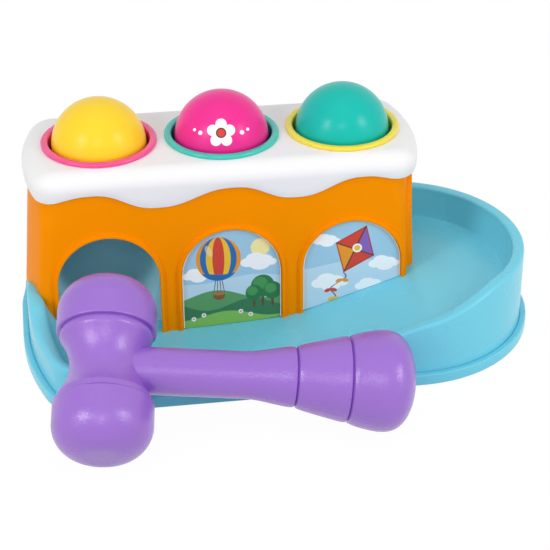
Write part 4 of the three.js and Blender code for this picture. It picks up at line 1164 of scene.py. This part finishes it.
finger_outline = rounded([
    (collar_tip + 0.5, collar_tip_z + 0.3, 0),
    (collar_tip, collar_tip_z, 0.5),
    (collar_tip + COLLAR_WALL, collar_tip_z - 0.4 * COLLAR_WALL, 0.5),
    (RING_BORE + COLLAR_WALL, collar_seat - 1.6 * COLLAR_WALL, 2),
    (RING_BORE + COLLAR_WALL, collar_seat - 0.5, 0),
    (RING_BORE + 0.1, collar_seat - 0.5, 1),
    (collar_tip + 0.5, collar_tip_z + 0.3, 0),
], 4)[:-1]

finger_tree, finger_in, finger_keys = node_tree("collar_fingers", {
    "Fingers": "NodeSocketInt", "Place": "NodeSocketVector", "Finish": "NodeSocketMaterial",
})
finger_ring = added(finger_tree, "GeometryNodeMeshCircle", {
    "Vertices": finger_in["Fingers"], "Radius": 0,
})
finger_index = added(finger_tree, "GeometryNodeInputIndex").outputs[0]
finger_step = reckon(finger_tree, "DIVIDE", 2 * math.pi, finger_in["Fingers"])
finger_turn = added(finger_tree, "ShaderNodeCombineXYZ", {
    "Z": reckon(finger_tree, "MULTIPLY", finger_index, finger_step),
})
finger_copies = added(finger_tree, "GeometryNodeInstanceOnPoints", {
    "Points": finger_ring.outputs["Mesh"], "Instance": finger_in["Geometry"],
    "Rotation": finger_turn.outputs["Vector"],
})
finger_move = added(finger_tree, "GeometryNodeTransform", {
    "Geometry": finger_copies.outputs["Instances"], "Translation": finger_in["Place"],
})
end_tree(finger_tree, finger_in, finger_move.outputs["Geometry"])

collar_rubber = moulded_plastic(
    "collar_grey_rubber", COLLAR_GREY, gloss=0.62, grain_mm=0.5, grain_depth=0.03)
for side, x in PLACES.items():
    finger_loops = []
    for k in range(17):
        loop = []
        for p in finger_outline:
            turn = lerp(-1, 1, k / 16) * (math.pi / COLLAR_FINGERS - COLLAR_SLIT / 2 / p.x)
            loop.append(Vector((p.x * math.cos(turn), p.x * math.sin(turn), p.y)))
        finger_loops.append(loop)
    finger = tube_through("finger", finger_loops)
    finger_mesh = grown("collar_fingers", finger, finger_tree, finger_keys, {
        "Fingers": COLLAR_FINGERS, "Place": (x * MM, 0, 0), "Finish": collar_rubber,
    })
    sleeve_mesh = turned("collar_sleeve", sleeve_outline, collar_sleeve, (x, 0, 0), collar_rubber, 96)
    collar_mesh = joined(f"collar_{side}", [finger_mesh, sleeve_mesh])
    collar = placed(f"collar_{side}_soft", collar_mesh, collar_rubber)
    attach(collar, "tower")
    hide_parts(f"collar_{side}")


# Each ball is two hollow halves of glossy plastic welded round the middle, which leaves a fine seam.
# The middle one is printed with a flower in front.
SEAM_HALF, SEAM_DEPTH = 0.35, 0.22
BALL_COLOURS = {
    "left": ("ball_yellow", "ffd62b"),
    "middle": ("ball_magenta", "f22b93"),
    "right": ("ball_teal", "00bcb0"),
}
FLOWER_FACING, FLOWER_DROP = (-0.1, -0.84, 0.53), 1
PETAL_REACH, PETAL_RADIUS, PETAL_EDGE = 4.6, 2.9, 0.1


def lathe(name, profile, axis_turn, sides=96):
    """A closed mesh turned about Z from (radius, height) points that start and end there, then moved."""
    strips = []
    for k in range(sides):
        angle = 2 * math.pi * k / sides
        c, s = math.cos(angle), math.sin(angle)
        strips.append([axis_turn @ Vector((p[0] * c, p[0] * s, p[1])) for p in profile])
    return skinned(name, strips)


def ball_profile():
    heights = [k * math.pi / 96 - math.pi / 2 for k in range(97)]
    seam = SEAM_HALF / BALL_RADIUS
    heights = [h for h in heights if abs(h) > 1.6 * seam]
    heights += [-seam, -seam / 2, 0, seam / 2, seam]
    profile = []
    for h in sorted(heights):
        dip = SEAM_DEPTH * max(0, 1 - abs(h) / seam)
        radius = BALL_RADIUS - dip
        across = radius * math.cos(h) if abs(h) < math.pi / 2 - 1e-6 else 0
        profile.append((across, radius * math.sin(h)))
    return profile


def found(tree, kind):
    return next(node for node in tree.nodes if node.type == kind)


def flower_print(finish):
    """White petals round a red middle on the front of the ball, with small dots to either side."""
    tree = finish.node_tree
    shader = tree.nodes["Principled BSDF"]
    facing = Vector(FLOWER_FACING).normalized()
    right = facing.cross(Vector((0, 0, 1))).normalized() * -1
    up = right.cross(facing) * -1
    from_middle = added(tree, "ShaderNodeVectorMath", {
        0: found(tree, "TEX_COORD").outputs["Object"], 1: (0, 0, BALL_Z * MM),
    }, operation="SUBTRACT").outputs["Vector"]

    def along(direction):
        sockets = {0: from_middle, 1: direction / MM}
        return added(tree, "ShaderNodeVectorMath", sockets, operation="DOT_PRODUCT").outputs["Value"]

    u, v = along(right), along(up)
    in_front = reckon(tree, "GREATER_THAN", along(facing), 0)

    def disc(x, z, radius):
        du, dv = reckon(tree, "SUBTRACT", u, x), reckon(tree, "SUBTRACT", v, z)
        squares = reckon(tree, "MULTIPLY_ADD", du, du, reckon(tree, "MULTIPLY", dv, dv))
        inside = added(tree, "ShaderNodeMapRange", {
            "Value": reckon(tree, "SQRT", squares),
            "From Min": radius + PETAL_EDGE, "From Max": radius - PETAL_EDGE,
        })
        return reckon(tree, "MULTIPLY", inside.outputs["Result"], in_front)

    spots = []
    for k in range(5):
        angle = math.radians(90 + 72 * k)
        across, over = PETAL_REACH * math.cos(angle), PETAL_REACH * math.sin(angle)
        spots.append((across, over - FLOWER_DROP, PETAL_RADIUS, WHITE_INK))
    spots += [(0, -FLOWER_DROP, 2.7, "2b2230"), (0, -FLOWER_DROP, 2.1, "d8342c")]
    for side in (-1, 1):
        spots += [(side * 10.8, -0.6, 1.1, WHITE_INK), (side * 13.8, 1.2, 0.8, WHITE_INK)]
    colour = shader.inputs["Base Color"].links[0].from_socket
    for x, z, radius, ink in spots:
        colour = mixed(tree, disc(x, z, radius), colour, tint(ink))
    wired(tree, shader, {"Base Color": colour})


for side, (ball_slot, ball_code) in BALL_COLOURS.items():
    ball_plastic = moulded_plastic(
        f"{ball_slot}_plastic", ball_code, gloss=0.29, grain_depth=0.002, shine=0.3)
    if side == "middle":
        flower_print(ball_plastic)
    ball_mesh = lathe(f"ball_{side}", ball_profile(), Matrix.Translation((PLACES[side], 0, BALL_Z)))
    ball = placed(f"ball_{side}_whole", ball_mesh, ball_plastic)
    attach(ball, f"ball_{side}")
    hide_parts(f"ball_{side}_upper", f"ball_{side}_lower")


# The hammer is two purple plastic half shells welded on one plane: a waisted head with round caps and
# a handle that swells into a ringed grip. Its mould is finely textured. It lies on one cap and the
# grip's end.
HEAD_LENGTH, HEAD_RADIUS, HEAD_END_ROUND = 93.6, 24.6, 17
CAP_EDGE, GROOVE_WIDTH, GROOVE_DEPTH, BAND_WIDTH = 18.9, 0.8, 0.6, 2.6
WAIST_END_RADIUS, WAIST_RADIUS = 22.8, 17.2
SHAFT_RADIUS, HANDLE_LENGTH = 11.7, 152.4
KNOB_RADIUS, KNOB_AT, KNOB_CURVE = 25.2, 135.8, (2.6, 2.1)
HANDLE_POINTS = [
    (0, SHAFT_RADIUS), (64, SHAFT_RADIUS), (71, 11.85), (76, 12.5), (84, 13.95),
    (93, 15.5), (106, 18.7), (119, 21.8), (128, 24.1), (KNOB_AT, KNOB_RADIUS),
]
GRIP_LINES = (93, 119)
GRIP_LINE_STOPS = (0, 0.2, 0.5, 0.75, 1.2, 1.8, 2.5)
GRIP_LINE_DEPTH, GRIP_LINE_HALF = 1.0, 0.7
GRIP_SHOULDER, GRIP_SHOULDER_DEPTH = 4.2, 0.7
HAMMER_X, HAMMER_Y, HAMMER_LIFT = -72.1, -119.78, 0.2
HAMMER_TILT, HAMMER_YAW = math.radians(30), math.radians(-4.4)
# The weld line's lighter purple is a painted highlight along its ridge.
HAMMER_PURPLE, WELD_HIGHLIGHT_PURPLE = "945fca", "d6bcf4"
WELD_HALF, WELD_HEIGHT, WELD_HIGHLIGHT_SHARE = 0.28, 0.2, 0.7

band_end = CAP_EDGE - GROOVE_WIDTH
waist_end = band_end - BAND_WIDTH
groove_radius = WAIST_END_RADIUS - GROOVE_DEPTH
head_flat = HEAD_RADIUS - HEAD_END_ROUND
head_half = [(0, HEAD_LENGTH / 2)]
for k in range(25):
    angle = math.radians(90 - 90 * k / 24)
    head_half.append((head_flat + HEAD_END_ROUND * math.cos(angle),
                      HEAD_LENGTH / 2 - HEAD_END_ROUND * (1 - math.sin(angle))))
waist = []
for k in range(25):
    at = waist_end * (1 - k / 24)
    waist.append((WAIST_RADIUS + (WAIST_END_RADIUS - WAIST_RADIUS) * (at / waist_end) ** 2, at))
neck = rounded([
    (HEAD_RADIUS, CAP_EDGE + 6, 0),
    (HEAD_RADIUS, CAP_EDGE, 0.8),
    (groove_radius, CAP_EDGE - 0.1, 0.3),
    (groove_radius, band_end + 0.1, 0.3),
    (WAIST_END_RADIUS, band_end, 0.6),
    (WAIST_END_RADIUS, waist_end, 3),
    (*waist[4], 0),
], 7)
head_half += [(p.x, p.y) for p in neck] + waist[5:]
head_profile = head_half + [(radius, -at) for radius, at in reversed(head_half[:-1])]


def grip_radius(at):
    """The handle's outline: a smooth swell, drawn in softly at each grip line, then a round end."""
    if at > KNOB_AT:
        share = (at - KNOB_AT) / (HANDLE_LENGTH - KNOB_AT)
        return KNOB_RADIUS * max(0, 1 - share ** KNOB_CURVE[0]) ** (1 / KNOB_CURVE[1])
    radius = read_off(HANDLE_POINTS, at)
    for line in GRIP_LINES:
        off = abs(at - line)
        radius -= GRIP_SHOULDER_DEPTH * max(0, 1 - off / GRIP_SHOULDER) ** 2
        radius -= GRIP_LINE_DEPTH * max(0, 1 - off / GRIP_LINE_HALF)
    return radius


handle_stops = [k * KNOB_AT / 120 for k in range(121)]
for line in GRIP_LINES:
    handle_stops += [line + side * off for side in (-1, 1) for off in GRIP_LINE_STOPS]
handle_stops += [lerp(KNOB_AT, HANDLE_LENGTH, math.sin(math.pi / 2 * k / 28)) for k in range(1, 29)]
handle_profile = [(0, 0)] + [(grip_radius(at), at) for at in sorted(set(handle_stops))]


def hammer_pose():
    """How the hammer lies: turned about its handle, dipped so that one cap and the grip touch the floor."""

    def head_reach(dip):
        down = math.cos(dip) * math.sin(HAMMER_TILT)
        cap_middle = down * (HEAD_LENGTH / 2 - HEAD_END_ROUND)
        return cap_middle + HEAD_END_ROUND + head_flat * math.sqrt(1 - down * down)

    dip = 0
    for _ in range(8):
        dip = math.asin((head_reach(dip) - KNOB_RADIUS * math.cos(dip)) / KNOB_AT)
    turn = Matrix.Rotation(HAMMER_YAW, 4, "Z") @ Matrix.Rotation(dip, 4, "Y")
    turn = turn @ Matrix.Rotation(HAMMER_TILT, 4, "X")
    return Matrix.Translation((HAMMER_X, HAMMER_Y, head_reach(dip) + HAMMER_LIFT)) @ turn


hammer_lie = hammer_pose()
head_turn = hammer_lie @ Matrix.Rotation(-math.pi / 2, 4, "X")
handle_turn = hammer_lie @ Matrix.Rotation(math.pi / 2, 4, "Y")
head_mesh = lathe("hammer_head", head_profile, head_turn, 128)
handle_mesh = lathe("hammer_handle", handle_profile, handle_turn, 96)
hammer_mesh = carved(head_mesh, [handle_mesh], "UNION")
smoothed(hammer_mesh, 30)


def weld_line(finish):
    """A fine raised line where the two half shells meet, on the hammer's own parting plane, with a painted
    highlight along it.
    """
    tree = finish.node_tree
    shader, grain = tree.nodes["Principled BSDF"], found(tree, "BUMP")
    plane = hammer_lie.to_3x3() @ Vector((0, 0, 1))
    across = added(tree, "ShaderNodeVectorMath", {
        0: found(tree, "TEX_COORD").outputs["Object"], 1: plane / MM,
    }, operation="DOT_PRODUCT").outputs["Value"]
    from_plane = reckon(tree, "SUBTRACT", across, plane.dot(hammer_lie.translation))
    ridge = added(tree, "ShaderNodeMapRange", {
        "Value": reckon(tree, "ABSOLUTE", from_plane), "From Min": WELD_HALF, "From Max": 0.0,
    }).outputs["Result"]
    bump = added(tree, "ShaderNodeBump", {"Height": ridge, "Distance": WELD_HEIGHT * MM})
    wired(tree, grain, {"Normal": bump.outputs["Normal"]})
    # Along the ridge the colour is mixed lighter: a painted highlight on the weld line.
    plain = shader.inputs["Base Color"].links[0].from_socket
    painted_highlight = reckon(tree, "MULTIPLY", ridge, WELD_HIGHLIGHT_SHARE)
    wired(tree, shader, {"Base Color": mixed(tree, painted_highlight, plain, tint(WELD_HIGHLIGHT_PURPLE))})


hammer_purple = moulded_plastic(
    "hammer_purple_plastic", HAMMER_PURPLE,
    gloss=0.24, grain_mm=0.8, grain_depth=0.18, mottle=0.03, shine=1.0)
weld_line(hammer_purple)
hammer = placed("hammer_whole", hammer_mesh, hammer_purple)
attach(hammer, "hammer")
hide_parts("hammer_half_upper", "hammer_half_lower")


# Steel self-tapping screws go up through the base into the house and chute, and through the house's
# lugs into the icing's posts. Each has a domed head with a cross recess and a coarse thread.
SCREW_COUNTS = {"base": 5, "chute": 2, "cover": 4}
SCREW_NODES = [
    f"{place}_screw_{k + 1}" for place, count in SCREW_COUNTS.items() for k in range(count)
]
SCREW_RADIUS, SCREW_CORE, SCREW_LENGTH, THREADS = 1.4, 1.05, 11, 9
SCREW_HEAD_RADIUS, SCREW_HEAD_HEIGHT = 2.7, 1.5
CROSS_HALF, CROSS_WIDTH, CROSS_DEPTH = 1.5, 0.6, 0.8
SCREW_STEEL = "b4b8bc"
screw_profile = [
    (0, 0), (1.2, 0.02), (2.0, 0.18), (2.5, 0.6),
    (SCREW_HEAD_RADIUS, SCREW_HEAD_HEIGHT - 0.15), (SCREW_HEAD_RADIUS - 0.1, SCREW_HEAD_HEIGHT),
    (SCREW_CORE, SCREW_HEAD_HEIGHT),
]
for k in range(THREADS):
    thread_z = SCREW_HEAD_HEIGHT + 0.6 + k
    screw_profile += [(SCREW_CORE, thread_z), (SCREW_RADIUS, thread_z + 0.3), (SCREW_CORE, thread_z + 0.6)]
screw_profile.append((0, SCREW_HEAD_HEIGHT + SCREW_LENGTH))
screw_cross = [
    block((-x, -y, -1), (x, y, CROSS_DEPTH))
    for x, y in ((CROSS_HALF, CROSS_WIDTH / 2), (CROSS_WIDTH / 2, CROSS_HALF))
]
screw_seed = carved(lathe("screw", screw_profile, Matrix.Identity(4), 20), screw_cross)
smoothed(screw_seed, 30)

screw_tree, screw_in, screw_keys = node_tree("screws_in_place", {
    "Screw": "NodeSocketObject", "Finish": "NodeSocketMaterial",
})
screw_shape = added(screw_tree, "GeometryNodeObjectInfo", {"Object": screw_in["Screw"]})
screw_copies = added(screw_tree, "GeometryNodeInstanceOnPoints", {
    "Points": screw_in["Geometry"], "Instance": screw_shape.outputs["Geometry"],
})
end_tree(screw_tree, screw_in, screw_copies.outputs["Instances"])
screw_steel = moulded_plastic("screw_steel_zinc", SCREW_STEEL, gloss=0.34, grain_mm=0.3, grain_depth=0.01)
screw_steel.node_tree.nodes["Principled BSDF"].inputs["Metallic"].default_value = 1
screw_spots = []
for screw_node in SCREW_NODES:
    low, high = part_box(screw_node)
    screw_spots.append(((low.x + high.x) / 2, (low.y + high.y) / 2, low.z))
screw_points = bpy.data.meshes.new("screw_spots")
screw_points.from_pydata(screw_spots, [], [])
screw_sample = bpy.data.objects.new("screw_sample", screw_seed)
scene.collection.objects.link(screw_sample)
screws_mesh = grown("screws", screw_points, screw_tree, screw_keys, {
    "Screw": screw_sample, "Finish": screw_steel,
})
bpy.data.objects.remove(screw_sample)
smoothed(screws_mesh, 30)
screws = placed("screws_in_place", screws_mesh, screw_steel)
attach(screws, "tower")
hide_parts(*SCREW_NODES)
